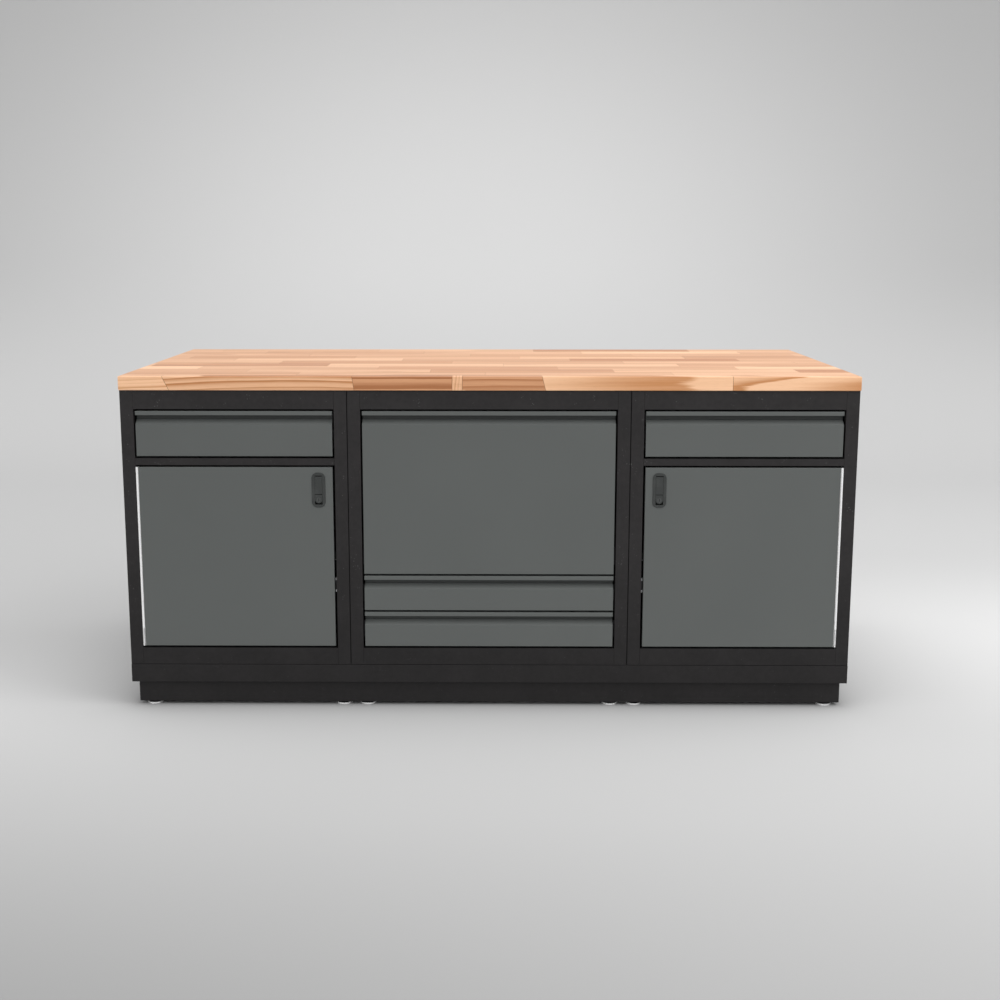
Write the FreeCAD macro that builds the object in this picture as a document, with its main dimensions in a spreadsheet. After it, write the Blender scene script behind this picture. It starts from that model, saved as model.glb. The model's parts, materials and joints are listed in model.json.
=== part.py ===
"""Garage island cabinet: three welded steel cabinets on one base, under a solid wood worktop.

Millimetres. The origin is on the floor under the middle of the island. +X runs along the
island to the right, +Y runs from the front to the rear, +Z is up.
"""
import FreeCAD, Part
import os
import re
import Sketcher

doc = FreeCAD.newDocument("garage_island_cabinet")

# Driving sizes: every cell of the sheet holds one of these plain numbers
SIZES = {
    # Island and its three cabinets
    "side_cabinet_width": 609.6,
    "centre_cabinet_width": 762.0,
    "cabinet_depth": 914.4,
    "cabinet_height": 762.0,
    "cabinet_seam": 0.8,
    "base_seam": 1.2,
    "body_sheet": 1.5,
    "bend_radius": 2.0,
    "stile_bend_radius": 1.0,
    "fitting_play": 0.2,
    "cut_overrun": 5.0,
    # Base: toe-kick channels, skirt rails and levelling feet
    "toe_gap": 9.0,
    "toe_kick_height": 60.0,
    "toe_recess": 16.0,
    "toe_channel_depth": 44.0,
    "skirt_height": 51.0,
    "skirt_depth": 40.0,
    "foot_pad_radius": 21.0,
    "foot_pad_neck_radius": 13.0,
    "foot_pad_rim": 3.5,
    "foot_pad_height": 7.0,
    "foot_stud_radius": 5.0,
    "foot_stud_length": 38.0,
    "foot_nut_radius": 9.8,
    "foot_nut_height": 8.0,
    "foot_plate_length": 56.0,
    "foot_plate_thickness": 4.0,
    "foot_end_inset": 54.6,
    "foot_seam_outside": 23.5,
    "foot_seam_inside": 43.0,
    # Worktop and its screws
    "worktop_thickness": 38.0,
    "worktop_front_overhang": 5.5,
    "worktop_end_overhang": 1.0,
    "worktop_edge_radius": 2.5,
    "screw_radius": 2.5,
    "screw_head_radius": 5.5,
    "screw_head_height": 3.0,
    "screw_bite": 25.0,
    "screw_spread": 360.0,
    "screw_set_back": 30.0,
    # Face frame
    "stile_width": 35.0,
    "stile_return": 24.0,
    "rear_flange": 25.0,
    "top_rail_height": 51.0,
    "top_rail_flange": 40.0,
    "rear_rail_height": 40.0,
    "mid_rail_height": 19.0,
    "bottom_rail_height": 48.0,
    # Posts that bring the slides out to the edge of the stiles
    "post_depth": 25.0,
    "post_set_back": 60.0,
    "post_rear_inset": 30.0,
    # Bolts that join the cabinets
    "joining_bolt_radius": 4.0,
    "joining_head_radius": 7.5,
    "joining_head_height": 5.3,
    "joining_inset": 150.0,
    "joining_drop": 90.0,
    "joining_rise": 160.0,
    # Drawer fronts with their lip pull
    "front_gap": 5.2,
    "front_sheet": 1.5,
    "shallow_front_height": 97.0,
    "pull_nose": 11.0,
    "pull_mouth": 11.5,
    "pull_slope": 13.5,
    "pull_depth": 18.0,
    "front_upturn": 22.0,
    # Drawer boxes and telescopic slides
    "box_sheet": 1.2,
    "box_rise": 10.0,
    "box_headroom": 28.0,
    "slide_height": 46.0,
    "slide_depth": 13.0,
    "slide_sheet": 1.5,
    "slide_play": 0.4,
    "slide_set_back": 23.0,
    "slide_rear_room": 180.2,
    "slide_rise": 12.0,
    # Doors and piano hinges
    "door_height": 500.4,
    "door_depth": 20.0,
    "hinge_gap": 6.8,
    "latch_gap": 6.0,
    "hinge_leaf_sheet": 1.0,
    "hinge_leaf_depth": 18.0,
    "hinge_barrel_radius": 2.7,
    "hinge_pin_radius": 1.3,
    "hinge_pin_play": 0.08,
    "hinge_knuckle_play": 0.3,
    "hinge_knuckle_pairs": 10,
    # Latches: housing, paddle, key lock and cam
    "latch_width": 36.0,
    "latch_height": 95.0,
    "latch_corner_radius": 15.0,
    "latch_flange": 1.6,
    "latch_rim": 7.8,
    "latch_wall": 2.0,
    "latch_cup_depth": 17.0,
    "latch_cup_floor": 3.0,
    "latch_inset": 38.5,
    "latch_drop": 62.4,
    "paddle_length": 48.7,
    "paddle_thickness": 5.0,
    "paddle_play": 0.4,
    "paddle_top_gap": 2.5,
    "paddle_pivot_drop": 11.2,
    "paddle_pivot_radius": 1.6,
    "paddle_pivot_play": 0.08,
    "lock_drop": 26.7,
    "lock_collar_play": 0.6,
    "lock_collar_gap": 1.4,
    "lock_plug_radius": 6.0,
    "lock_plug_play": 0.1,
    "lock_liner_play": 1.0,
    "lock_plug_length": 27.0,
    "key_slot_width": 1.6,
    "key_slot_height": 7.0,
    "key_slot_depth": 4.0,
    "cam_length": 56.0,
    "cam_width": 13.0,
    "cam_thickness": 2.5,
    # Catches, shelves and shelf clips
    "catch_width": 10.0,
    "catch_depth": 14.0,
    "catch_height": 40.0,
    "catch_rise": 149.0,
    "catch_play": 0.4,
    "shelf_level": 262.0,
    "shelf_fold": 25.0,
    "shelf_play": 1.0,
    "clip_reach": 14.0,
    "clip_drop": 18.0,
    "clip_sheet": 2.0,
}

# Places worked out from the sizes, each a formula in words of this table and of the sizes
PLACES = {
    "front": "-cabinet_depth / 2",
    "rear": "cabinet_depth / 2",
    "half_centre": "centre_cabinet_width / 2",
    "half_length": "half_centre + side_cabinet_width",
    "side_middle": "half_centre + side_cabinet_width / 2",
    "toe_top": "toe_gap + toe_kick_height",
    "base_top": "toe_top + skirt_height",
    "floor_top": "base_top + bottom_rail_height",
    "body_top": "base_top + cabinet_height",
    "opening_top": "body_top - top_rail_height",
    "front_depth": "pull_depth + front_sheet",
    "door_bottom": "floor_top + front_gap",
    "door_top": "door_bottom + door_height",
    "mid_rail_bottom": "door_top + front_gap",
    "mid_rail_top": "mid_rail_bottom + mid_rail_height",
    "side_drawer_bottom": "mid_rail_top + front_gap",
    "side_drawer_height": "opening_top - front_gap - side_drawer_bottom",
    "middle_drawer_bottom": "door_bottom + shallow_front_height + front_gap",
    "deep_drawer_bottom": "middle_drawer_bottom + shallow_front_height + front_gap",
    "deep_drawer_height": "opening_top - front_gap - deep_drawer_bottom",
    "slide_front": "front + slide_set_back",
    "slide_rear": "rear - slide_rear_room",
    "post_rear": "slide_rear - post_rear_inset",
    "latch_middle": "door_top - latch_drop",
    "lock_middle": "latch_middle - lock_drop",
    "latch_face": "front - latch_flange",
    "pocket_half_width": "latch_width / 2 - latch_rim",
    "pocket_half_height": "latch_height / 2 - latch_rim",
    "pivot_level": "latch_middle + pocket_half_height - paddle_pivot_drop",
    "paddle_top": "latch_middle + pocket_half_height - paddle_top_gap",
    "paddle_bottom": "paddle_top - paddle_length",
    "pivot_depth": "latch_face + paddle_thickness / 2",
    "plug_rear": "latch_face + lock_plug_length",
    "knuckle_pitch": "door_height / hinge_knuckle_pairs",
    "knuckle_length": "knuckle_pitch / 2 - hinge_knuckle_play",
    "hinge_bore_radius": "hinge_pin_radius + hinge_pin_play",
    "shelf_top": "floor_top + shelf_level",
    "shelf_bottom": "shelf_top - shelf_fold",
    "foot_level": "front + toe_recess + toe_channel_depth / 2",
    "channel_floor": "toe_gap + body_sheet",
    "plate_top": "channel_floor + foot_plate_thickness",
    "stud_hole_radius": "foot_stud_radius + fitting_play",
    "screw_hole_radius": "screw_radius + fitting_play / 2",
    "bolt_hole_radius": "joining_bolt_radius + fitting_play",
}

sheet = doc.addObject("Spreadsheet::Sheet", "Sizes")
for row, (alias, size) in enumerate(SIZES.items(), 1):
    sheet.set(f"A{row}", alias)
    sheet.set(f"B{row}", str(size))
    sheet.setAlias(f"B{row}", alias)
doc.recompute()

WORD = re.compile(r"[a-z][a-z_]*")


def spelled(formula):
    """Spell a formula out in cells of the sheet, so that an object's size can follow it."""
    def swap(match):
        word = match.group(0)
        if word in PLACES:
            return "(" + spelled(PLACES[word]) + ")"
        return "Sizes." + word if word in SIZES else word
    return WORD.sub(swap, formula)


def bind(thing, size, formula):
    """Tie one size of an object to a formula."""
    thing.setExpression(size, spelled(formula))


def place(thing, x, y, z):
    """Tie an object's place to three formulas."""
    for axis, formula in zip("xyz", (x, y, z)):
        bind(thing, "Placement.Base." + axis, formula)


# Plain solids

def block(name, x, y, z):
    """A plate or bar between two formulas, low and high, on each axis."""
    solid = doc.addObject("Part::Box", name)
    for side, (low, high) in zip(("Length", "Width", "Height"), (x, y, z)):
        bind(solid, side, f"({high}) - ({low})")
    place(solid, x[0], y[0], z[0])
    return solid


TURNS = {
    "x": FreeCAD.Rotation(FreeCAD.Vector(0, 1, 0), 90),
    "y": FreeCAD.Rotation(FreeCAD.Vector(1, 0, 0), -90),
    "z": FreeCAD.Rotation(),
}


def rod(name, axis, radius, start, length):
    """A round bar along one axis, from its start point."""
    solid = doc.addObject("Part::Cylinder", name)
    solid.Placement.Rotation = TURNS[axis]
    bind(solid, "Radius", radius)
    bind(solid, "Height", length)
    place(solid, *start)
    return solid


def fuse(name, solids):
    """Several overlapping or touching solids made one."""
    whole = doc.addObject("Part::MultiFuse", name)
    whole.Shapes = solids
    whole.Refine = True
    return whole


def cut(name, base, tools):
    """A solid with one or more others taken out of it."""
    whole = doc.addObject("Part::Cut", name)
    whole.Base = base
    whole.Tool = tools[0] if len(tools) == 1 else fuse(name + "_tools", tools)
    whole.Refine = True
    return whole


def group(name, solids):
    """Separate solids that share one node."""
    whole = doc.addObject("Part::Compound", name)
    whole.Links = solids
    return whole


# Drawn solids: a sketched outline, padded, with its bends rounded

def drawn(name, plane, corners, length):
    """A body padded from an outline of straight runs, each corner tied to two formulas."""
    body = doc.addObject("PartDesign::Body", name)
    sketch = sketched(body, name, plane, "0")
    tie_corners(sketch, corners)
    padded(body, name, sketch, length)
    return body


def origin_of(body, role):
    """A plane or an axis of a body's own origin."""
    return [item for item in body.Origin.OriginFeatures if item.Role == role][0]


def sketched(body, name, plane, start):
    """An empty sketch on a plane of the body's origin, raised off it by a formula."""
    sketch = body.newObject("Sketcher::SketchObject", name + "_outline")
    sketch.AttachmentSupport = [(origin_of(body, plane), "")]
    sketch.MapMode = "FlatFace"
    bind(sketch, "AttachmentOffset.Base.z", start)
    return sketch


def tie_corners(sketch, corners):
    """A closed outline of straight runs, each corner tied to two formulas."""
    count = len(corners)
    dots = [FreeCAD.Vector(index, index * index, 0) for index in range(count)]
    for index in range(count):
        sketch.addGeometry(Part.LineSegment(dots[index], dots[(index + 1) % count]), False)
    for index in range(count):
        sketch.addConstraint(Sketcher.Constraint("Coincident", index, 2, (index + 1) % count, 1))
    for index, corner in enumerate(corners):
        for kind, formula in zip(("DistanceX", "DistanceY"), corner):
            number = sketch.addConstraint(Sketcher.Constraint(kind, -1, 1, index, 1, 1))
            sketch.setExpression(f"Constraints[{number}]", spelled(formula))


def padded(body, name, sketch, length):
    """A pad of a sketch, its length tied to a formula."""
    pad = body.newObject("PartDesign::Pad", name + "_pad")
    pad.Profile = sketch
    bind(pad, "Length", length)
    return pad


def rounded(body, radius, chosen):
    """Round those edges of a drawn body that the function chosen picks from its shape."""
    doc.recompute()
    base = body.Tip
    box = base.Shape.BoundBox
    picked = [f"Edge{number}" for number, edge in enumerate(base.Shape.Edges, 1) if chosen(edge, box)]
    fillet = body.newObject("PartDesign::Fillet", body.Name + "_bends")
    fillet.Base = (base, picked)
    bind(fillet, "Radius", radius)
    body.Tip = fillet
    return body


def touches(edge, axis, level):
    """True where a whole edge lies at one level of an axis."""
    return all(abs(getattr(vertex, axis) - level) < Part.Precision.confusion() for vertex in edge.Vertexes)


def slab(name, x, y, z, radius, chosen):
    """A rectangular body between low and high formulas, with chosen edges rounded."""
    wide = f"({x[1]}) - ({x[0]})"
    deep = f"({y[1]}) - ({y[0]})"
    corners = [("0", "0"), (wide, "0"), (wide, deep), ("0", deep)]
    body = drawn(name, "XY_Plane", corners, f"({z[1]}) - ({z[0]})")
    place(body, x[0], y[0], z[0])
    return rounded(body, radius, chosen)


def across(middle, hand, near, far):
    """Low and high x of a span given outwards from a middle line, to the right or left hand."""
    ends = (f"{middle} + {hand} * ({near})", f"{middle} + {hand} * ({far})")
    return ends if hand > 0 else ends[::-1]


NODES = []


def node(thing, label):
    """Keep an object as one named sub-part."""
    thing.Label = label
    NODES.append(thing)


# The cabinets: name, middle line, outside width
CABINETS = {
    "left": ("-(side_middle)", "side_cabinet_width"),
    "centre": ("0", "centre_cabinet_width"),
    "right": ("side_middle", "side_cabinet_width"),
}
# Doors and hinges face outwards: the left cabinet's to the left, the right one's to the right
OUTWARDS = {"left": -1, "right": 1}
# Which side of a cabinet meets a neighbour and is bolted to it
BOLTED_SIDES = {("left", 1), ("centre", -1), ("centre", 1), ("right", -1)}


def half_of(cabinet):
    """Half a cabinet's own width, inside the seam between cabinets."""
    return f"({CABINETS[cabinet][1]} - cabinet_seam) / 2"


def opening_of(cabinet):
    """Half the clear width between a cabinet's stiles."""
    return f"({half_of(cabinet)} - stile_width)"


# Base

def channel(name, x, y, z, open_side, bent=False):
    """A folded channel: a bar hollowed from one side, its outer bends square or rounded."""
    hollow_x = (f"{x[0]} + body_sheet", f"{x[1]} - body_sheet")
    hollow_y = (f"{y[0]} + body_sheet", f"{y[1]} - body_sheet")
    hollow_z = (f"{z[0]} + body_sheet", f"{z[1]} - body_sheet")
    through_y = (f"{y[0]} - cut_overrun", f"{y[1]} + cut_overrun")
    if open_side == "+y":
        hollow_y = (hollow_y[0], through_y[1])
    if open_side == "-y":
        hollow_y = (through_y[0], hollow_y[1])
    if open_side == "+x":
        hollow_x = (hollow_x[0], f"{x[1]} + cut_overrun")
        hollow_y = through_y
    if open_side == "-x":
        hollow_x = (f"{x[0]} - cut_overrun", hollow_x[1])
        hollow_y = through_y

    def outer_bend(edge, box):
        axis = open_side[1].upper()
        level = getattr(box, axis + ("Min" if open_side[0] == "+" else "Max"))
        return touches(edge, axis, level) and edge.BoundBox.ZLength < box.ZLength / 2
    bar = slab(name + "_bar", x, y, z, "bend_radius", outer_bend) if bent else block(name + "_bar", x, y, z)
    return cut(name, bar, [block(name + "_hollow", hollow_x, hollow_y, hollow_z)])


def ring_of_channels(name, recess, depth, z, bent=False):
    """Four channels round the base, set in by a recess: front, rear, left end, right end."""
    x = (f"-half_length + {recess}", f"half_length - {recess}")
    front_y = (f"front + {recess}", f"front + {recess} + {depth}")
    rear_y = (f"rear - {recess} - {depth}", f"rear - {recess}")
    end_y = (f"{front_y[1]} + fitting_play", f"{rear_y[0]} - fitting_play")
    left_x = (x[0], f"{x[0]} + {depth}")
    right_x = (f"{x[1]} - {depth}", x[1])
    return (
        channel(name + "_front", x, front_y, z, "+y", bent),
        channel(name + "_rear", x, rear_y, z, "-y", bent),
        channel(name + "_left", left_x, end_y, z, "+x", bent),
        channel(name + "_right", right_x, end_y, z, "-x", bent),
    )


def foot_places():
    """Foot centres: two feet for each cabinet, along the front and along the rear."""
    rows = ("half_length - foot_end_inset", "half_centre + foot_seam_outside",
            "half_centre - foot_seam_inside")
    for y_name, y in (("front", "foot_level"), ("rear", "-(foot_level)")):
        for hand in (-1, 1):
            for number, x in enumerate(rows):
                yield f"{y_name}_{'left' if hand < 0 else 'right'}_{number}", f"{hand} * ({x})", y


def make_base():
    """Skirt rails, toe-kick channels, foot plates and levelling feet."""
    skirt = ring_of_channels("skirt", "0", "skirt_depth", ("toe_top", "base_top"), bent=True)
    node(skirt[0], "base_front_skirt")
    node(skirt[1], "base_rear_skirt")
    node(group("skirt_ends", list(skirt[2:])), "base_end_skirts")
    toe = ring_of_channels("toe", "toe_recess", "toe_channel_depth", ("toe_gap", "toe_top"))
    holes = {"front": [], "rear": []}
    plates = []
    feet = []
    nuts = []
    for name, x, y in foot_places():
        run = name.split("_")[0]
        start = (x, y, "toe_gap - cut_overrun")
        holes[run].append(rod("stud_hole_" + name, "z", "stud_hole_radius", start,
                              "plate_top + cut_overrun"))
        plates.append(foot_plate(name, x, y))
        foot, nut = levelling_foot(name, x, y)
        feet.extend(foot)
        nuts.append(nut)
    long_toes = [cut(f"toe_kick_{run}", toe[index], holes[run])
                 for index, run in enumerate(("front", "rear"))]
    node(group("toe_kick_group", long_toes + list(toe[2:])), "toe_kicks")
    node(group("foot_plate_group", plates), "foot_plates")
    node(group("foot_group", feet), "levelling_feet")
    node(group("foot_nut_group", nuts), "foot_lock_nuts")


def foot_plate(name, x, y):
    """A thick plate inside the toe-kick channel that takes a foot's stud."""
    half_deep = "toe_channel_depth / 2 - body_sheet - fitting_play"
    across_x = (f"{x} - foot_plate_length / 2", f"{x} + foot_plate_length / 2")
    along_y = (f"{y} - ({half_deep})", f"{y} + ({half_deep})")
    blank = block("foot_plate_" + name, across_x, along_y, ("channel_floor", "plate_top"))
    hole = rod("plate_hole_" + name, "z", "stud_hole_radius", (x, y, "0"), "plate_top + cut_overrun")
    return cut("foot_plate_drilled_" + name, blank, [hole])


def levelling_foot(name, x, y):
    """A round pad on the floor, the stud that stands on it and the nut that locks the stud."""
    rim = rod("pad_rim_" + name, "z", "foot_pad_radius", (x, y, "0"), "foot_pad_rim")
    crown = doc.addObject("Part::Cone", "pad_crown_" + name)
    bind(crown, "Radius1", "foot_pad_radius")
    bind(crown, "Radius2", "foot_pad_neck_radius")
    bind(crown, "Height", "foot_pad_height - foot_pad_rim")
    place(crown, x, y, "foot_pad_rim")
    pad = fuse("pad_" + name, [rim, crown])
    stud = rod("stud_" + name, "z", "foot_stud_radius", (x, y, "foot_pad_height"), "foot_stud_length")
    blank = doc.addObject("Part::Prism", "nut_blank_" + name)
    blank.Polygon = 6
    bind(blank, "Circumradius", "foot_nut_radius")
    bind(blank, "Height", "foot_nut_height")
    place(blank, x, y, "plate_top")
    thread = rod("nut_thread_" + name, "z", "stud_hole_radius", (x, y, "plate_top - cut_overrun"),
                 "foot_nut_height + 2 * cut_overrun")
    return [pad, stud], cut("nut_" + name, blank, [thread])


# Cabinet shells

def make_sides():
    """Six folded sides: the wall, the stile in front with its return, and the rear flange."""
    for cabinet, (middle, _) in CABINETS.items():
        for hand in (-1, 1):
            name = f"{cabinet}_{'left' if hand < 0 else 'right'}_side"
            node(cabinet_side(name, cabinet, hand), side_label(cabinet, hand))


def side_label(cabinet, hand):
    """The name of a side: outer or inner on the end cabinets, left or right in the centre."""
    if cabinet == "centre":
        return f"centre_cabinet_{'left' if hand < 0 else 'right'}_side"
    return f"{cabinet}_cabinet_{'outer' if OUTWARDS[cabinet] == hand else 'inner'}_side"


def cabinet_side(name, cabinet, hand):
    """One folded side, its two front bends rounded, drilled where it is bolted to a neighbour."""
    half = half_of(cabinet)
    stile = opening_of(cabinet)
    corners = [
        (half, "front"),
        (half, "rear"),
        (f"{half} - rear_flange", "rear"),
        (f"{half} - rear_flange", "rear - body_sheet"),
        (f"{half} - body_sheet", "rear - body_sheet"),
        (f"{half} - body_sheet", "front + body_sheet"),
        (f"{stile} + body_sheet", "front + body_sheet"),
        (f"{stile} + body_sheet", "front + stile_return"),
        (stile, "front + stile_return"),
        (stile, "front"),
    ]
    outline = [(f"{hand} * ({x})", y) for x, y in corners]
    body = drawn(name, "XY_Plane", outline, "cabinet_height - base_seam")
    place(body, CABINETS[cabinet][0], "0", "base_top + base_seam")

    def front_bend(edge, box):
        return touches(edge, "Y", box.YMin) and edge.BoundBox.ZLength > box.ZLength / 2
    rounded(body, "stile_bend_radius", front_bend)
    if (cabinet, hand) not in BOLTED_SIDES:
        return body
    seam = f"{CABINETS[cabinet][0]} + {hand} * ({half})"
    holes = []
    for number, (y, z) in enumerate(joining_places()):
        start = (f"{seam} - cut_overrun", y, z)
        holes.append(rod(f"{name}_hole_{number}", "x", "bolt_hole_radius", start, "2 * cut_overrun"))
    return cut(name + "_drilled", body, holes)


def joining_places():
    """Depth and height of the bolts through each pair of neighbouring sides."""
    for y in ("front + joining_inset", "rear - joining_inset"):
        for z in ("floor_top + joining_rise", "body_top - joining_drop"):
            yield y, z


def make_joining_bolts():
    """A bolt and a nut at each joining place of the two seams."""
    pieces = []
    for hand in (-1, 1):
        for number, (y, z) in enumerate(joining_places()):
            name = f"joining_{'left' if hand < 0 else 'right'}_{number}"
            grip = "cabinet_seam / 2 + body_sheet"
            low = f"{hand} * half_centre - ({grip})"
            head = rod(name + "_head", "x", "joining_head_radius",
                       (f"{low} - joining_head_height", y, z), "joining_head_height")
            shank = rod(name + "_shank", "x", "joining_bolt_radius",
                        (f"{low} - joining_head_height", y, z), f"2 * ({grip}) + 3 * joining_head_height")
            pieces.append(fuse(name + "_bolt", [head, shank]))
            blank = rod(name + "_nut_blank", "x", "joining_head_radius",
                        (f"{low} + 2 * ({grip})", y, z), "joining_head_height")
            bore = rod(name + "_nut_bore", "x", "bolt_hole_radius", (low, y, z),
                       f"2 * ({grip}) + joining_head_height + cut_overrun")
            pieces.append(cut(name + "_nut", blank, [bore]))
    node(group("joining_group", pieces), "joining_bolts")


def make_floors():
    """Floors folded down all round to stand on the base, each with its bottom rail between the stiles."""
    floors = []
    for cabinet, (middle, _) in CABINETS.items():
        wall = f"({half_of(cabinet)} - body_sheet - fitting_play)"
        pan_x = (f"{middle} - {wall}", f"{middle} + {wall}")
        pan_y = ("front + stile_return", "rear - body_sheet - fitting_play")
        rail_x = (f"{middle} - ({opening_of(cabinet)} - fitting_play)",
                  f"{middle} + ({opening_of(cabinet)} - fitting_play)")
        hollow_x = (f"{pan_x[0]} + body_sheet", f"{pan_x[1]} - body_sheet")
        hollow_y = (f"{pan_y[0]} + body_sheet", f"{pan_y[1]} - body_sheet")
        hollow_z = ("base_top - cut_overrun", "floor_top - body_sheet")
        pan = cut(cabinet + "_pan", block(cabinet + "_pan_blank", pan_x, pan_y, ("base_top", "floor_top")),
                  [block(cabinet + "_pan_hollow", hollow_x, hollow_y, hollow_z)])
        face = block(cabinet + "_rail_face", rail_x, ("front", "front + body_sheet"),
                     ("base_top + base_seam", "floor_top"))
        cover = block(cabinet + "_rail_cover", rail_x, ("front", "front + stile_return"),
                      ("floor_top - body_sheet", "floor_top"))
        floors.append(fuse(cabinet + "_floor", [pan, face, cover]))
    node(group("floor_group", floors), "cabinet_floors")


def make_backs():
    """Flat backs that stand on the floors, inside the rear flanges of the sides."""
    backs = []
    for cabinet, (middle, _) in CABINETS.items():
        wall = f"({half_of(cabinet)} - body_sheet - fitting_play)"
        backs.append(block(cabinet + "_back", (f"{middle} - {wall}", f"{middle} + {wall}"),
                           ("rear - 2 * body_sheet", "rear - body_sheet"), ("floor_top", "body_top")))
    node(group("back_group", backs), "cabinet_backs")


def screw_places():
    """Name, cabinet, x and y of each screw that holds the worktop from below."""
    for cabinet, (middle, _) in CABINETS.items():
        for hand in (-1, 1):
            x = f"{middle} + {hand} * screw_spread / 2"
            yield f"{cabinet}_front_{'left' if hand < 0 else 'right'}", cabinet, x, "front + screw_set_back"
            yield f"{cabinet}_rear_{'left' if hand < 0 else 'right'}", cabinet, x, "rear - screw_set_back"


def make_top_rails():
    """Front rails folded as channels between the stiles, and rear rails folded as angles."""
    front_rails = []
    rear_rails = []
    for cabinet, (middle, _) in CABINETS.items():
        clear = f"({opening_of(cabinet)} - fitting_play)"
        wall = f"({half_of(cabinet)} - body_sheet - fitting_play)"
        x = (f"{middle} - {clear}", f"{middle} + {clear}")
        wide_x = (f"{middle} - {wall}", f"{middle} + {wall}")
        top = ("body_top - body_sheet", "body_top")
        holes = {"front": [], "rear": []}
        for name, owner, screw_x, screw_y in screw_places():
            if owner == cabinet:
                start = (screw_x, screw_y, "body_top - cut_overrun")
                hole = rod("rail_hole_" + name, "z", "screw_hole_radius", start, "2 * cut_overrun")
                holes[name.split("_")[1]].append(hole)
        face = block(cabinet + "_top_face", x, ("front", "front + body_sheet"), ("opening_top", "body_top"))
        lower = block(cabinet + "_top_lower", x, ("front", "front + stile_return"),
                      ("opening_top", "opening_top + body_sheet"))
        upper = block(cabinet + "_top_upper", x, ("front", "front + top_rail_flange"), top)
        whole = fuse(cabinet + "_top_front", [face, lower, upper])
        front_rails.append(cut(cabinet + "_top_front_drilled", whole, holes["front"]))
        web = block(cabinet + "_rear_web", wide_x, ("rear - 3 * body_sheet", "rear - 2 * body_sheet"),
                    ("body_top - rear_rail_height", "body_top"))
        ledge = block(cabinet + "_rear_ledge", wide_x,
                      ("rear - 2 * body_sheet - top_rail_flange", "rear - 2 * body_sheet"), top)
        angle = fuse(cabinet + "_top_rear", [web, ledge])
        rear_rails.append(cut(cabinet + "_top_rear_drilled", angle, holes["rear"]))
    node(group("front_rail_group", front_rails), "front_top_rails")
    node(group("rear_rail_group", rear_rails), "rear_top_rails")


def make_mid_rails():
    """The rail between drawer and door of each end cabinet."""
    rails = []
    for cabinet in OUTWARDS:
        middle = CABINETS[cabinet][0]
        clear = f"({opening_of(cabinet)} - fitting_play)"
        rails.append(channel(cabinet + "_mid_rail", (f"{middle} - {clear}", f"{middle} + {clear}"),
                             ("front", "front + stile_return"), ("mid_rail_bottom", "mid_rail_top"), "+y"))
    node(group("mid_rail_group", rails), "mid_rails")


def post_spans():
    """Front and rear posts: name, low and high y."""
    yield "front", ("front + post_set_back", "front + post_set_back + post_depth")
    yield "rear", ("post_rear - post_depth", "post_rear")


def make_posts():
    """Square tubes from floor to worktop, between each wall and the edge line of its stile."""
    posts = []
    for cabinet, (middle, _) in CABINETS.items():
        for hand in (-1, 1):
            x = across(middle, hand, opening_of(cabinet), f"{half_of(cabinet)} - body_sheet - fitting_play")
            for place_name, y in post_spans():
                name = f"{cabinet}_{'left' if hand < 0 else 'right'}_{place_name}_post"
                bar = block(name + "_bar", x, y, ("floor_top", "body_top"))
                hollow = block(name + "_hollow", (f"{x[0]} + body_sheet", f"{x[1]} - body_sheet"),
                               (f"{y[0]} + body_sheet", f"{y[1]} - body_sheet"),
                               ("floor_top - cut_overrun", "body_top + cut_overrun"))
                posts.append(cut(name, bar, [hollow]))
    node(group("post_group", posts), "slide_posts")


def make_worktop():
    """The wooden slab with eased edges, drilled from below for its screws."""
    def any_edge(edge, box):
        return True
    top = slab("worktop_slab", ("-half_length - worktop_end_overhang", "half_length + worktop_end_overhang"),
               ("front - worktop_front_overhang", "rear + worktop_front_overhang"),
               ("body_top", "body_top + worktop_thickness"), "worktop_edge_radius", any_edge)
    holes = []
    screws = []
    for name, cabinet, x, y in screw_places():
        start = (x, y, "body_top - cut_overrun")
        holes.append(rod("pilot_" + name, "z", "screw_hole_radius", start,
                         "cut_overrun + screw_bite + fitting_play"))
        under = "body_top - body_sheet - screw_head_height"
        head = rod("screw_head_" + name, "z", "screw_head_radius", (x, y, under), "screw_head_height")
        shank = rod("screw_shank_" + name, "z", "screw_radius", (x, y, under),
                    "screw_head_height + body_sheet + screw_bite")
        screws.append(fuse("screw_" + name, [head, shank]))
    node(cut("worktop_drilled", top, holes), "worktop")
    node(group("screw_group", screws), "worktop_screws")


# Drawers

# Each drawer: its cabinet, the bottom edge of its front and the height of its front
DRAWERS = {
    "left_drawer": ("left", "side_drawer_bottom", "side_drawer_height"),
    "right_drawer": ("right", "side_drawer_bottom", "side_drawer_height"),
    "deep_drawer": ("centre", "deep_drawer_bottom", "deep_drawer_height"),
    "middle_drawer": ("centre", "middle_drawer_bottom", "shallow_front_height"),
    "bottom_drawer": ("centre", "door_bottom", "shallow_front_height"),
}


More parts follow.
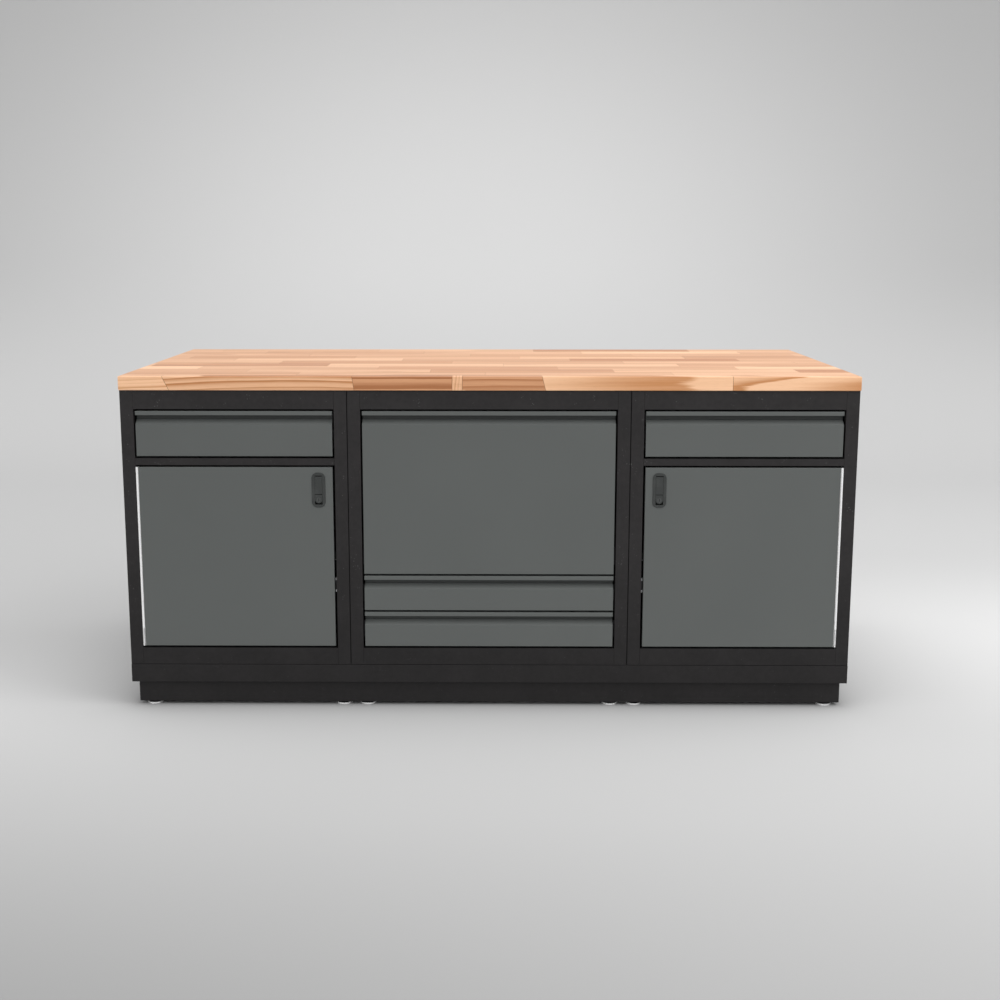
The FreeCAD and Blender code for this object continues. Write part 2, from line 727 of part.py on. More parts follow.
def drawer_front(name, cabinet, bottom, height):
    """A folded front: face, finger groove under the lip, bottom return with its upturn, side returns."""
    clear = f"({opening_of(cabinet)} - front_gap)"
    groove_top = f"({height} - pull_nose - pull_mouth)"
    face_top = f"({groove_top} - pull_slope)"
    section = [
        ("0", "0"),
        ("0", face_top),
        ("pull_depth", groove_top),
        ("pull_depth", f"{height} - front_sheet"),
        ("front_sheet", f"{height} - front_sheet"),
        ("front_sheet", f"{height} - pull_nose"),
        ("0", f"{height} - pull_nose"),
        ("0", height),
        ("front_depth", height),
        ("front_depth", groove_top),
        ("front_sheet", face_top),
        ("front_sheet", "front_sheet"),
        ("pull_depth", "front_sheet"),
        ("pull_depth", "front_upturn"),
        ("front_depth", "front_upturn"),
        ("front_depth", "0"),
    ]
    middle = CABINETS[cabinet][0]
    folded = drawn(name + "_fold", "YZ_Plane", section, f"2 * {clear}")
    place(folded, f"{middle} - {clear}", "front", bottom)

    def outer_bend(edge, box):
        level = touches(edge, "Z", box.ZMin) or touches(edge, "Z", box.ZMax)
        return level and touches(edge, "Y", box.YMin)
    rounded(folded, "bend_radius", outer_bend)
    returns = []
    for hand in (-1, 1):
        x = across(middle, hand, f"{clear} - front_sheet", clear)
        returns.append(block(f"{name}_return_{'left' if hand < 0 else 'right'}", x,
                             ("front + bend_radius", "front + front_depth"),
                             (f"{bottom} + bend_radius", f"{bottom} + {face_top}")))
    return fuse(name + "_front", [folded] + returns)


def drawer_box(name, cabinet, bottom, height):
    """An open tray behind the front, as wide as the slides leave room for."""
    middle = CABINETS[cabinet][0]
    half = f"({opening_of(cabinet)} - slide_depth)"
    x = (f"{middle} - {half}", f"{middle} + {half}")
    y = ("front + front_depth", "slide_rear")
    z = (f"{bottom} + box_rise", f"{bottom} + box_rise + {height} - box_headroom")
    hollow_x = (f"{x[0]} + box_sheet", f"{x[1]} - box_sheet")
    hollow_y = (f"{y[0]} + box_sheet", f"{y[1]} - box_sheet")
    hollow_z = (f"{z[0]} + box_sheet", f"{z[1]} + cut_overrun")
    return cut(name + "_box", block(name + "_box_blank", x, y, z),
               [block(name + "_box_hollow", hollow_x, hollow_y, hollow_z)])


def slide_member(name, cabinet, hand, level, near, far, tall, open_inwards):
    """A channel of a slide, near and far measured from the post towards the drawer."""
    middle = CABINETS[cabinet][0]
    post = opening_of(cabinet)
    y = ("slide_front", "slide_rear")
    x = across(middle, hand, f"{post} - ({far})", f"{post} - ({near})")
    bar = block(name + "_bar", x, y, (f"{level} - ({tall}) / 2", f"{level} + ({tall}) / 2"))
    hollow_near = f"{near} + slide_sheet" if open_inwards else f"{near} - cut_overrun"
    hollow_far = f"{far} + cut_overrun" if open_inwards else f"{far} - slide_sheet"
    hollow_x = across(middle, hand, f"{post} - ({hollow_far})", f"{post} - ({hollow_near})")
    hollow = block(name + "_hollow", hollow_x, ("slide_front - cut_overrun", "slide_rear + cut_overrun"),
                   (f"{level} - ({tall}) / 2 + slide_sheet", f"{level} + ({tall}) / 2 - slide_sheet"))
    return cut(name, bar, [hollow])


def make_drawers():
    """Five drawers: front, box, and on each side a cabinet, an intermediate and a drawer member."""
    step = "(slide_sheet + slide_play)"
    lip = "(slide_depth - slide_sheet - slide_play)"
    cabinet_members = []
    for name, (cabinet, bottom, height) in DRAWERS.items():
        level = f"({bottom} + box_rise + slide_rise + slide_height / 2)"
        node(drawer_front(name, cabinet, bottom, height), name + "_front")
        node(drawer_box(name, cabinet, bottom, height), name + "_box")
        middles = []
        inners = []
        for hand in (-1, 1):
            side = f"{name}_{'left' if hand < 0 else 'right'}"
            cabinet_members.append(slide_member(side + "_outer", cabinet, hand, level, "0", lip,
                                                "slide_height", True))
            middles.append(slide_member(side + "_middle", cabinet, hand, level, step, lip,
                                        f"slide_height - 2 * {step}", True))
            inners.append(slide_member(side + "_inner", cabinet, hand, level, f"2 * {step}", "slide_depth",
                                       f"slide_height - 4 * {step}", False))
        node(group(name + "_middle_group", middles), name + "_slide_intermediates")
        node(group(name + "_inner_group", inners), name + "_slide_runners")
    node(group("cabinet_member_group", cabinet_members), "slide_cabinet_rails")


# Doors

def door_spans(cabinet):
    """The door's x, from its latch edge to its hinge edge, and the hand that its hinge is on."""
    hand = OUTWARDS[cabinet]
    clear = opening_of(cabinet)
    return hand, across(CABINETS[cabinet][0], hand, f"latch_gap - {clear}", f"{clear} - hinge_gap")


def latch_line(cabinet):
    """The x of the latch's middle line."""
    inwards = f"(latch_gap - {opening_of(cabinet)} + latch_inset)"
    return f"({CABINETS[cabinet][0]} + {OUTWARDS[cabinet]} * {inwards})"


def make_doors():
    """Two doors: folded shell, liner, hinge leaf, latch housing, paddle, key lock and cam."""
    for cabinet in OUTWARDS:
        hand, x = door_spans(cabinet)
        latch_x = latch_line(cabinet)
        cut_half = "(pocket_half_width + latch_wall + fitting_play)"
        cut_tall = "(pocket_half_height + latch_wall + fitting_play)"
        name = cabinet + "_door"

        def front_face(edge, box):
            return touches(edge, "Y", box.YMin)
        shell = slab(name + "_slab", x, ("front", "front + door_depth"), ("door_bottom", "door_top"),
                     "bend_radius", front_face)
        inside = block(name + "_inside", (f"{x[0]} + front_sheet", f"{x[1]} - front_sheet"),
                       ("front + front_sheet", "front + door_depth + cut_overrun"),
                       ("door_bottom + front_sheet", "door_top - front_sheet"))
        window = block(name + "_window",
                       (f"{latch_x} - {cut_half}", f"{latch_x} + {cut_half}"),
                       ("front - cut_overrun", "front + front_sheet + cut_overrun"),
                       (f"latch_middle - {cut_tall}", f"latch_middle + {cut_tall}"))
        node(cut(name + "_folded", shell, [inside, window]), name + "_shell")
        inset = "(front_sheet + fitting_play)"
        plate = block(name + "_liner_plate", (f"{x[0]} + {inset}", f"{x[1]} - {inset}"),
                      ("front + door_depth - front_sheet", "front + door_depth"),
                      (f"door_bottom + {inset}", f"door_top - {inset}"))
        hole = rod(name + "_liner_hole", "y", "lock_plug_radius + lock_liner_play",
                   (latch_x, "front", "lock_middle"), "door_depth + cut_overrun")
        node(cut(name + "_liner_drilled", plate, [hole]), name + "_liner")
        node(hinge_leaf(name + "_leaf", cabinet, "door"), name + "_hinge_leaf")
        make_latch(cabinet, latch_x)


def make_latch(cabinet, x):
    """The oblong housing let into the door, the rocking paddle in it, and the key lock below the paddle."""
    name = cabinet + "_latch"
    wide = "pocket_half_width"
    tall = "pocket_half_height"

    def corner(edge, box):
        return edge.BoundBox.YLength > box.YLength / 2
    flange = slab(name + "_flange", (f"{x} - latch_width / 2", f"{x} + latch_width / 2"),
                  ("latch_face", "front"),
                  ("latch_middle - latch_height / 2", "latch_middle + latch_height / 2"),
                  "latch_corner_radius", corner)
    cup = block(name + "_cup", (f"{x} - {wide} - latch_wall", f"{x} + {wide} + latch_wall"),
                ("front", "front + latch_cup_depth"),
                (f"latch_middle - {tall} - latch_wall", f"latch_middle + {tall} + latch_wall"))
    pocket = block(name + "_pocket", (f"{x} - {wide}", f"{x} + {wide}"),
                   ("latch_face - cut_overrun", "front + latch_cup_depth - latch_cup_floor"),
                   (f"latch_middle - {tall}", f"latch_middle + {tall}"))
    pivot_hole = rod(name + "_pivot_hole", "x", "paddle_pivot_radius + paddle_pivot_play",
                     (f"{x} - {wide} - latch_wall", "pivot_depth", "pivot_level"),
                     f"2 * ({wide} + latch_wall)")
    shell = cut(name + "_hollow", fuse(name + "_blank", [flange, cup]), [pocket, pivot_hole])
    collar_half = f"({wide} - lock_collar_play)"
    collar_end = rod(name + "_collar_end", "y", collar_half, (x, "latch_face", "lock_middle"),
                     "latch_flange + latch_cup_depth")
    collar = block(name + "_collar", (f"{x} - {collar_half}", f"{x} + {collar_half}"),
                   ("latch_face", "front + latch_cup_depth"),
                   ("lock_middle", "paddle_bottom - lock_collar_gap"))
    plug_hole = rod(name + "_plug_hole", "y", "lock_plug_radius + lock_plug_play",
                    (x, "latch_face - cut_overrun", "lock_middle"), "lock_plug_length + cut_overrun")
    collared = fuse(name + "_collared", [shell, collar, collar_end])
    node(cut(name + "_bored", collared, [plug_hole]), name + "_housing")
    node(latch_paddle(name + "_paddle", x), name + "_paddle")
    node(key_lock(name, cabinet, x), cabinet + "_key_lock")


def latch_paddle(name, x):
    """A plate flush with the housing's face, on two stubs: its top rocks in, its lower end swings out."""
    half = "(pocket_half_width - paddle_play)"

    def face_edge(edge, box):
        return touches(edge, "Y", box.YMin)
    plate = slab(name + "_plate", (f"{x} - {half}", f"{x} + {half}"),
                 ("latch_face", "latch_face + paddle_thickness"),
                 ("paddle_bottom", "paddle_top"), "paddle_play", face_edge)
    reach = "(pocket_half_width + latch_wall - paddle_play)"
    stubs = rod(name + "_stubs", "x", "paddle_pivot_radius",
                (f"{x} - {reach}", "pivot_depth", "pivot_level"), f"2 * {reach}")
    return fuse(name, [plate, stubs])


def key_lock(name, cabinet, x):
    """The plug that the key turns, and the cam on its rear end, which hangs down when unlocked."""
    plug = rod(name + "_plug", "y", "lock_plug_radius", (x, "latch_face", "lock_middle"), "lock_plug_length")
    slot = block(name + "_key_slot", (f"{x} - key_slot_width / 2", f"{x} + key_slot_width / 2"),
                 ("latch_face - cut_overrun", "latch_face + key_slot_depth"),
                 ("lock_middle - key_slot_height / 2", "lock_middle + key_slot_height / 2"))
    cam = block(name + "_cam", (f"{x} - cam_width / 2", f"{x} + cam_width / 2"),
                ("plug_rear", "plug_rear + cam_thickness"),
                ("lock_middle - cam_length", "lock_middle + cam_width / 2"))
    return group(name + "_lock_group", [cut(name + "_slotted_plug", plug, [slot]), cam])


def hinge_axis(cabinet):
    """The x of the hinge line, midway in the gap between stile and door."""
    return f"({CABINETS[cabinet][0]} + {OUTWARDS[cabinet]} * ({opening_of(cabinet)} - hinge_gap / 2))"


def hinge_leaf(name, cabinet, side):
    """A piano hinge's leaf: the plate on the stile or on the door's edge, and its row of knuckles."""
    outwards = OUTWARDS[cabinet] if side == "frame" else -OUTWARDS[cabinet]
    near = "hinge_gap / 2 - hinge_leaf_sheet"
    far = "hinge_gap / 2"
    inner_y = "hinge_barrel_radius - hinge_leaf_sheet"
    outline = [(near, inner_y), (far, inner_y), (far, f"{inner_y} + hinge_leaf_depth"),
               (near, f"{inner_y} + hinge_leaf_depth")]
    body = drawn(name, "XY_Plane", [(f"{outwards} * ({u})", y) for u, y in outline], "door_height")
    start = "0" if side == "frame" else "knuckle_pitch / 2"
    bridge = [("0", inner_y), (far, inner_y), (far, "hinge_barrel_radius"), ("0", "hinge_barrel_radius")]
    strip = sketched(body, name + "_bridge", "XY_Plane", start)
    tie_corners(strip, [(f"{outwards} * ({u})", y) for u, y in bridge])
    barrel = sketched(body, name + "_barrel", "XY_Plane", start)
    barrel.addGeometry(Part.Circle(FreeCAD.Vector(), FreeCAD.Vector(0, 0, 1), 1), False)
    barrel.addConstraint(Sketcher.Constraint("Coincident", 0, 3, -1, 1))
    number = barrel.addConstraint(Sketcher.Constraint("Radius", 0, 1))
    barrel.setExpression(f"Constraints[{number}]", spelled("hinge_barrel_radius"))
    row = body.newObject("PartDesign::LinearPattern", name + "_row")
    row.Originals = [padded(body, name + "_bridge", strip, "knuckle_length"),
                     padded(body, name + "_barrel", barrel, "knuckle_length")]
    row.Direction = (origin_of(body, "Z_Axis"), [""])
    bind(row, "Length", "door_height - knuckle_pitch")
    bind(row, "Occurrences", "hinge_knuckle_pairs")
    body.Tip = row
    place(body, hinge_axis(cabinet), "front", "door_bottom")
    low_end = (hinge_axis(cabinet), "front", "door_bottom - cut_overrun")
    bore = rod(name + "_bore", "z", "hinge_bore_radius", low_end, "door_height + 2 * cut_overrun")
    return cut(name + "_bored", body, [bore])


def make_hinges():
    """Frame leaves on the outer stiles, and the pins through both leaves' knuckles."""
    leaves = []
    pins = []
    for cabinet in OUTWARDS:
        leaves.append(hinge_leaf(cabinet + "_frame_leaf", cabinet, "frame"))
        pins.append(rod(cabinet + "_hinge_pin", "z", "hinge_pin_radius",
                        (hinge_axis(cabinet), "front", "door_bottom"), "door_height"))
    node(group("frame_leaf_group", leaves), "hinge_frame_leaves")
    node(group("hinge_pin_group", pins), "hinge_pins")


# Inside the end cabinets

def make_catches_and_shelves():
    """Magnetic catches on the inner stiles, shelves and the clips that carry them."""
    catches = []
    shelves = []
    clips = []
    for cabinet, hand in OUTWARDS.items():
        middle = CABINETS[cabinet][0]
        clear = opening_of(cabinet)
        catch_y = "front + door_depth + catch_play"
        catches.append(block(cabinet + "_catch", across(middle, hand, f"-{clear}", f"catch_width - {clear}"),
                             (catch_y, f"{catch_y} + catch_depth"),
                             ("door_bottom + catch_rise", "door_bottom + catch_rise + catch_height")))
        shelf_half = f"({clear} - shelf_play)"
        x = (f"{middle} - {shelf_half}", f"{middle} + {shelf_half}")
        y = ("front + post_set_back", "post_rear")
        blank = block(cabinet + "_shelf_blank", x, y, ("shelf_bottom", "shelf_top"))
        hollow = block(cabinet + "_shelf_hollow", (f"{x[0]} + body_sheet", f"{x[1]} - body_sheet"),
                       (f"{y[0]} + body_sheet", f"{y[1]} - body_sheet"),
                       ("shelf_bottom - cut_overrun", "shelf_top - body_sheet"))
        shelves.append(cut(cabinet + "_shelf", blank, [hollow]))
        for side in (-1, 1):
            for place_name, post_y in post_spans():
                name = f"{cabinet}_clip_{'left' if side < 0 else 'right'}_{place_name}"
                ledge = block(name + "_ledge", across(middle, side, f"{clear} - clip_reach", clear), post_y,
                              ("shelf_bottom - clip_sheet", "shelf_bottom"))
                tab = block(name + "_tab", across(middle, side, f"{clear} - clip_sheet", clear), post_y,
                            ("shelf_bottom - clip_drop", "shelf_bottom"))
                clips.append(fuse(name, [ledge, tab]))
    node(group("catch_group", catches), "door_catches")
    node(group("shelf_group", shelves), "shelves")
    node(group("clip_group", clips), "shelf_clips")


make_base()
make_sides()
make_joining_bolts()
make_floors()
make_backs()
make_top_rails()
make_mid_rails()
make_posts()
make_worktop()
make_drawers()
make_doors()
make_hinges()
make_catches_and_shelves()
doc.recompute()

failed = [thing.Label for thing in doc.Objects if "Invalid" in thing.State or "Error" in thing.State]
failed += [thing.Label for thing in NODES if thing.Shape.isNull() or not thing.Shape.isValid()]
if failed:
    raise SystemExit("not built: " + ", ".join(failed))

os.makedirs("parts", exist_ok=True)
for thing in NODES:
    thing.Shape.exportStep(os.path.join("parts", thing.Label + ".step"))
    print(f"{thing.Label}: {len(thing.Shape.Solids)} solids, {thing.Shape.Volume / 1000:.1f} cm3")
print(len(NODES), "nodes")
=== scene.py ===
# %% [markdown]
# A garage island: three steel cabinets on a recessed base, under one wooden worktop.
# The engineered model is loaded first and stays fixed. Each step below then adds a finish,
# or a surface that the plain model can't show, in the same metres and the same frame.

# %% Load the engineered model
import json
import math
import bmesh
import bpy
import numpy as np
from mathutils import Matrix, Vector


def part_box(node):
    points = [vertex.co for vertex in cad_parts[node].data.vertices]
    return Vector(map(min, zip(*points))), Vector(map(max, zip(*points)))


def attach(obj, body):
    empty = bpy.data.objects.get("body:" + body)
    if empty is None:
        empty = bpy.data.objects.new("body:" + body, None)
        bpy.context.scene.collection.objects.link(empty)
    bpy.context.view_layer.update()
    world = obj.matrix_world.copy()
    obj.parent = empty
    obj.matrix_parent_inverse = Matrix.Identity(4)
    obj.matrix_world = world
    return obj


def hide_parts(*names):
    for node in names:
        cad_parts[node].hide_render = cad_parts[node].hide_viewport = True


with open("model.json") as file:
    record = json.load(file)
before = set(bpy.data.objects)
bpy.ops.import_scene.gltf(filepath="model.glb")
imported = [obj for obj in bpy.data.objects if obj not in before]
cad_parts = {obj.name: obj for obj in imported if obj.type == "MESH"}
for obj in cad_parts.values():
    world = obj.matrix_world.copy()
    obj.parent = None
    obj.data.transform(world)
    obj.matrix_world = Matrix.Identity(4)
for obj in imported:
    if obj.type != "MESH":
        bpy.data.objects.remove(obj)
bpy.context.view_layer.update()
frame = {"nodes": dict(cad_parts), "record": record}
nodes = frame["nodes"]

# %% [markdown]
# The camera comes first, because every later choice is judged through it. It could be set by eye;
# here the viewpoint was worked out from the picture's own perspective: eye level a little above
# the worktop, about four metres away, looking ten degrees down with a normal lens.

# %% Camera at the picture's viewpoint
EYE = (0.0189, -4.0898, 1.2740)
PITCH = 0.1736789
YAW = -0.0088184
SENSOR_WIDTH = 36.0
FOCAL_SHARE = 1.3655131
FRAME_SHIFT = (0.016, -0.019)

camera = bpy.data.objects.new("camera", bpy.data.cameras.new("camera"))
bpy.context.scene.collection.objects.link(camera)
camera.data.sensor_width = SENSOR_WIDTH
camera.data.lens = SENSOR_WIDTH * FOCAL_SHARE
camera.data.shift_x, camera.data.shift_y = FRAME_SHIFT
camera.location = EYE
looking = Vector((math.sin(YAW) * math.cos(PITCH), math.cos(YAW) * math.cos(PITCH), -math.sin(PITCH)))
camera.rotation_mode = "QUATERNION"
camera.rotation_quaternion = looking.to_track_quat("-Z", "Y")
bpy.context.scene.camera = camera
bpy.context.scene.view_settings.view_transform = "Standard"
print("lens", round(camera.data.lens, 2), "mm at", EYE)

# %% [markdown]
# Shader maths could be laid out node by node, but it reads best as plain expressions. This small
# class wraps a node's output socket, so that a sum or a product of two of them adds the Math node
# by itself. Colours and vectors go through nodes made for them, with one method for any node.

# %% A socket that can be calculated with
class Tone:
    """A value that changes over a surface: a node output with the usual operators."""

    def __init__(self, tree, socket):
        self.tree = tree
        self.socket = socket

    def feed(self, target, value):
        """Link a Tone into an input, or set the input to a number, a vector or a red-green-blue."""
        if isinstance(value, Tone):
            self.tree.links.new(value.socket, target)
        elif target.type == "RGBA":
            target.default_value = (*value, 1.0)
        else:
            target.default_value = value

    def node(self, kind, output=0, settings=None, **inputs):
        """Add one node: its settings first, then the values or links of its sockets, by name with
        an underscore for a space, or by number as i0, i1 and so on."""
        made = self.tree.nodes.new(kind)
        for name, value in (settings or {}).items():
            setattr(made, name, value)
        for name, value in inputs.items():
            key = int(name[1:]) if name[1:].isdigit() else name.replace("_", " ")
            self.feed(made.inputs[key], value)
        return Tone(self.tree, made.outputs[output])

    def maths(self, operation, first, second=0.0):
        """One Math node on two values."""
        return self.node("ShaderNodeMath", settings={"operation": operation}, i0=first, i1=second)

    def __add__(self, other):
        return self.maths("ADD", self, other)

    def __radd__(self, other):
        return self.maths("ADD", other, self)

    def __sub__(self, other):
        return self.maths("SUBTRACT", self, other)

    def __rsub__(self, other):
        return self.maths("SUBTRACT", other, self)

    def __mul__(self, other):
        return self.maths("MULTIPLY", self, other)

    def __rmul__(self, other):
        return self.maths("MULTIPLY", other, self)

    def __truediv__(self, other):
        return self.maths("DIVIDE", self, other)

    def __rtruediv__(self, other):
        return self.maths("DIVIDE", other, self)

    def __pow__(self, other):
        return self.maths("POWER", self, other)

    def __rpow__(self, other):
        return self.maths("POWER", other, self)

    def __gt__(self, other):
        return self.maths("GREATER_THAN", self, other)

    def __lt__(self, other):
        return self.maths("LESS_THAN", self, other)

    def __abs__(self):
        return self.maths("ABSOLUTE", self)

    def ramp(self, low, high):
        """0 below low, 1 above high, smooth between."""
        settings = {"interpolation_type": "SMOOTHSTEP"}
        return self.node("ShaderNodeMapRange", settings=settings, i0=self, i1=low, i2=high, i3=0.0, i4=1.0)

    def mix(self, first, second):
        """Two colours, blended by this value."""
        settings = {"data_type": "RGBA"}
        return self.node("ShaderNodeMix", 2, settings, i0=self, i6=first, i7=second)


print("tones can be added, multiplied, compared, ramped and mixed")


# %% Places, noise and bumps
def finish(name):
    """An empty principled material: its start for Tone expressions and its shader."""
    material = bpy.data.materials.new(name)
    material.use_nodes = True
    shader = material.node_tree.nodes["Principled BSDF"]
    return material, Tone(material.node_tree, None), shader


def own_place(start):
    """The surface's own place in metres."""
    return start.node("ShaderNodeTexCoord", "Object")


def stretched(start, scale):
    """The surface's own place, stretched on each axis."""
    return start.node("ShaderNodeMapping", Vector=own_place(start), Scale=scale)


def axes_of(start, vector):
    """The three numbers of a vector."""
    outputs = start.node("ShaderNodeSeparateXYZ", i0=vector).socket.node.outputs
    return (Tone(start.tree, outputs[axis]) for axis in "XYZ")


def grain_noise(start, place, scale=1.0, detail=2.0, roughness=0.5):
    """Soft noise between 0 and 1 at a place, with a number of waves to the metre."""
    return start.node("ShaderNodeTexNoise", Vector=place, Scale=scale, Detail=detail, Roughness=roughness)


def cells(start, place, scale, output):
    """Cells scattered over a surface, a number of them to the metre."""
    return start.node("ShaderNodeTexVoronoi", output, {"feature": "F1"}, Vector=place, Scale=scale)


def bumped(start, shader, height, strength, depth):
    """Raise a surface by a height field, depth metres at most."""
    normal = start.node("ShaderNodeBump", Height=height, Strength=strength, Distance=depth)
    start.feed(shader.inputs["Normal"], normal)


print("shader helpers ready")

# %% [markdown]
# The frame of each cabinet is sprayed with a fine-textured black powder coat. Up close it is a
# field of tiny soft bumps, with a few pale specks where dust or a thin spot catches the light.
# A plain black would look like a hole, so noise drives the roughness, the bump and the specks. Low
# on the cabinets the coat is painted darker, a painted shade for the light that falls off towards
# the floor. A folded sheet's corner is also round, where the engineered one is sharp, and turns into
# shade: a narrow band of painted shade at the line where two cabinets meet stands for it.

# %% Black textured powder coat
COAT_LOW = np.array([0.0200, 0.0184, 0.0187])
COAT_HIGH = np.array([0.0284, 0.0261, 0.0266])
SPECK_TONE = np.array([0.155, 0.152, 0.153])
LOW_SHADE_SHARE = 0.70
SHADE_FADE_LEVELS = (0.10, 0.52)
SLIT_SHADE_HALF = 0.0014


def slit_shade_band(x, level):
    """1 in a narrow upright band at each line where two cabinets meet, over the base, where shade is
    painted, and 0 elsewhere.
    """
    meeting = (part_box("centre_cabinet_right_side")[1][0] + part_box("right_cabinet_inner_side")[0][0]) / 2
    near_line = 1.0 - (abs(abs(x) - float(meeting)) > SLIT_SHADE_HALF)
    return near_line * (level > float(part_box("base_front_skirt")[1][2]))


def black_powder_coat():
    """Black with fine bumps about one millimetre wide, uneven gloss and sparse pale specks, with
    painted shade towards the floor and at the slits between cabinets."""
    material, start, shader = finish("black_powder_coat")
    place = own_place(start)
    x, _, level = axes_of(start, place)
    # painted shade: the coat's tone, specks too, is multiplied down towards the floor
    full = level.ramp(*SHADE_FADE_LEVELS)
    cloud = grain_noise(start, place, scale=9.0, detail=3.0)
    mottle = grain_noise(start, place, scale=75.0, detail=3.0, roughness=0.6)
    pebble = grain_noise(start, place, scale=850.0, detail=1.0)
    choice = grain_noise(start, place, scale=40.0, detail=1.0)
    speck = cells(start, place, 170.0, "Distance")
    spots = (1.0 - speck.ramp(0.08, 0.24)) * choice.ramp(0.585, 0.72)
    depth = (cloud * 0.55 + mottle * 0.45).ramp(0.30, 0.72)
    tone = full.mix(depth.mix(COAT_LOW * LOW_SHADE_SHARE, COAT_HIGH * LOW_SHADE_SHARE), depth.mix(COAT_LOW, COAT_HIGH))
    tone = (spots * 0.8).mix(tone, full.mix(SPECK_TONE * LOW_SHADE_SHARE ** 3, SPECK_TONE))
    # painted shade: a near-black band at the slits where two cabinets meet
    tone = slit_shade_band(x, level).mix(tone, (0.0015, 0.0015, 0.0015))
    start.feed(shader.inputs["Base Color"], tone)
    start.feed(shader.inputs["Roughness"], 0.50 + cloud * 0.10 + pebble * 0.10)
    shader.inputs["Specular IOR Level"].default_value = 0.22
    bumped(start, shader, pebble + mottle * 0.5, 0.30, 0.0004)
    return material


black_coat = black_powder_coat()
print("finish:", black_coat.name)

# %% [markdown]
# Drawer fronts, doors, boxes and shelves carry a smoother satin grey coat. The real coat is not
# perfectly flat: it has a faint orange-peel ripple and slightly cloudy colour. The rear wall of
# each front's finger groove lies in the lip's shade, and that shade is painted on it as a darker
# grey; the height under the lip and the depth find the wall.

# %% Satin grey coat
LIP_HEIGHT = 0.011
MOUTH_END = 0.024
GROOVE_WALL = (0.0155, 0.0178)


def painted_groove_shade(start, front):
    """1 on the rear wall of a front's finger groove, under the lip, where shade is painted, and 0 on the
    rest of it.
    """
    low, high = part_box(front)
    _, y, z = axes_of(start, own_place(start))
    below_top = float(high[2]) - z
    under_lip = (below_top > LIP_HEIGHT) * (below_top < MOUTH_END)
    return (y - float(low[1])).ramp(*GROOVE_WALL) * under_lip


def satin_grey_coat(name, front=None):
    """Grey with a faint cloud in its colour and an orange-peel ripple a few millimetres wide."""
    material, start, shader = finish(name)
    place = own_place(start)
    cloud = grain_noise(start, place, scale=3.0, detail=3.0)
    peel = grain_noise(start, place, scale=330.0)
    fleck = grain_noise(start, place, scale=1400.0, detail=1.0)
    tone = (cloud * 0.7 + fleck * 0.3).mix((0.099, 0.106, 0.103), (0.120, 0.128, 0.124))
    if front:
        # painted shade on the groove's rear wall, under the lip
        tone = painted_groove_shade(start, front).mix(tone, (0.042, 0.045, 0.044))
    start.feed(shader.inputs["Base Color"], tone)
    start.feed(shader.inputs["Roughness"], 0.42 + peel * 0.10 + cloud * 0.06)
    shader.inputs["Specular IOR Level"].default_value = 0.28
    bumped(start, shader, peel, 0.12, 0.0003)
    return material


grey_coat = satin_grey_coat("satin_grey_coat")
DRAWER_FRONTS = [f"{place}_drawer_front" for place in ("left", "right", "deep", "middle", "bottom")]
front_coats = {front: satin_grey_coat(f"satin_grey_{front}", front) for front in DRAWER_FRONTS}
print("finishes:", grey_coat.name, *(coat.name for coat in front_coats.values()))

# %% [markdown]
# Screws, bolts and clips are zinc-plated: a pale bluish metal whose crystals give it a patchy
# shine. The piano hinges are brighter polished strip with fine lines drawn along it. Each
# could be one flat metal; cells and stretched noise give them the unevenness that plate has.

# %% Zinc plate and bright hinge strip
def zinc_plate():
    """Pale metal, its crystals shown by cells that differ a little in tone and in gloss."""
    material, start, shader = finish("zinc_plate")
    patch = start.node("ShaderNodeSeparateColor", i0=cells(start, own_place(start), 120.0, "Color"))
    streak = grain_noise(start, stretched(start, (60.0, 9.0, 60.0)), scale=6.0, detail=3.0)
    tone = (patch * 0.6 + streak * 0.4).mix((0.46, 0.48, 0.50), (0.66, 0.68, 0.70))
    start.feed(shader.inputs["Base Color"], tone)
    start.feed(shader.inputs["Roughness"], 0.26 + patch * 0.14 + streak * 0.08)
    shader.inputs["Metallic"].default_value = 1.0
    return material


def bright_hinge_strip():
    """Polished strip steel with fine lines along its length."""
    material, start, shader = finish("bright_hinge_strip")
    lines = grain_noise(start, stretched(start, (900.0, 900.0, 14.0)))
    smear = grain_noise(start, stretched(start, (30.0, 30.0, 4.0)), detail=3.0)
    start.feed(shader.inputs["Base Color"], lines.mix((0.91, 0.91, 0.91), (0.99, 0.99, 0.99)))
    start.feed(shader.inputs["Roughness"], 0.24 + lines * 0.14 + smear * 0.08)
    shader.inputs["Metallic"].default_value = 0.15
    bumped(start, shader, lines, 0.08, 0.0001)
    return material


zinc = zinc_plate()
hinge_steel = bright_hinge_strip()
print("finishes:", zinc.name, hinge_steel.name)

# %% [markdown]
# A levelling foot is a pad on a stud, and the stud is zinc. The pad's crown is painted black, a
# painted shade where the toe-kick shades it, and its rim is near-white plate, partly a painted
# highlight of the light it catches. They are one engineered piece, so one finish changes with the
# height over the floor. The drawer slides are plated black and oiled, which keeps the gaps at the
# drawers dark.

# %% Foot plate and black slide plate
RIM_TOP = (0.0036, 0.0042)
CROWN_TOP = (0.0068, 0.0074)


def foot_plate_painted_light():
    """Pads with a near-white rim, partly a painted highlight, and a crown in painted shade, zinc studs above
    them.
    """
    material, start, shader = finish("foot_plate_painted_light")
    place = own_place(start)
    scuff = grain_noise(start, place, scale=160.0, detail=3.0)
    _, _, level = axes_of(start, place)
    # painted shade on the pad's crown under the toe-kick, and a near-white rim as a partly painted highlight
    rim = 1.0 - level.ramp(*RIM_TOP)
    pad = 1.0 - level.ramp(*CROWN_TOP)
    tone = pad.mix((0.58, 0.60, 0.62), (0.035, 0.035, 0.036))
    start.feed(shader.inputs["Base Color"], rim.mix(tone, (0.97, 0.97, 0.97)))
    start.feed(shader.inputs["Roughness"], 0.32 - rim * 0.12 + scuff * 0.10)
    shader.inputs["Metallic"].default_value = 0.4
    return material


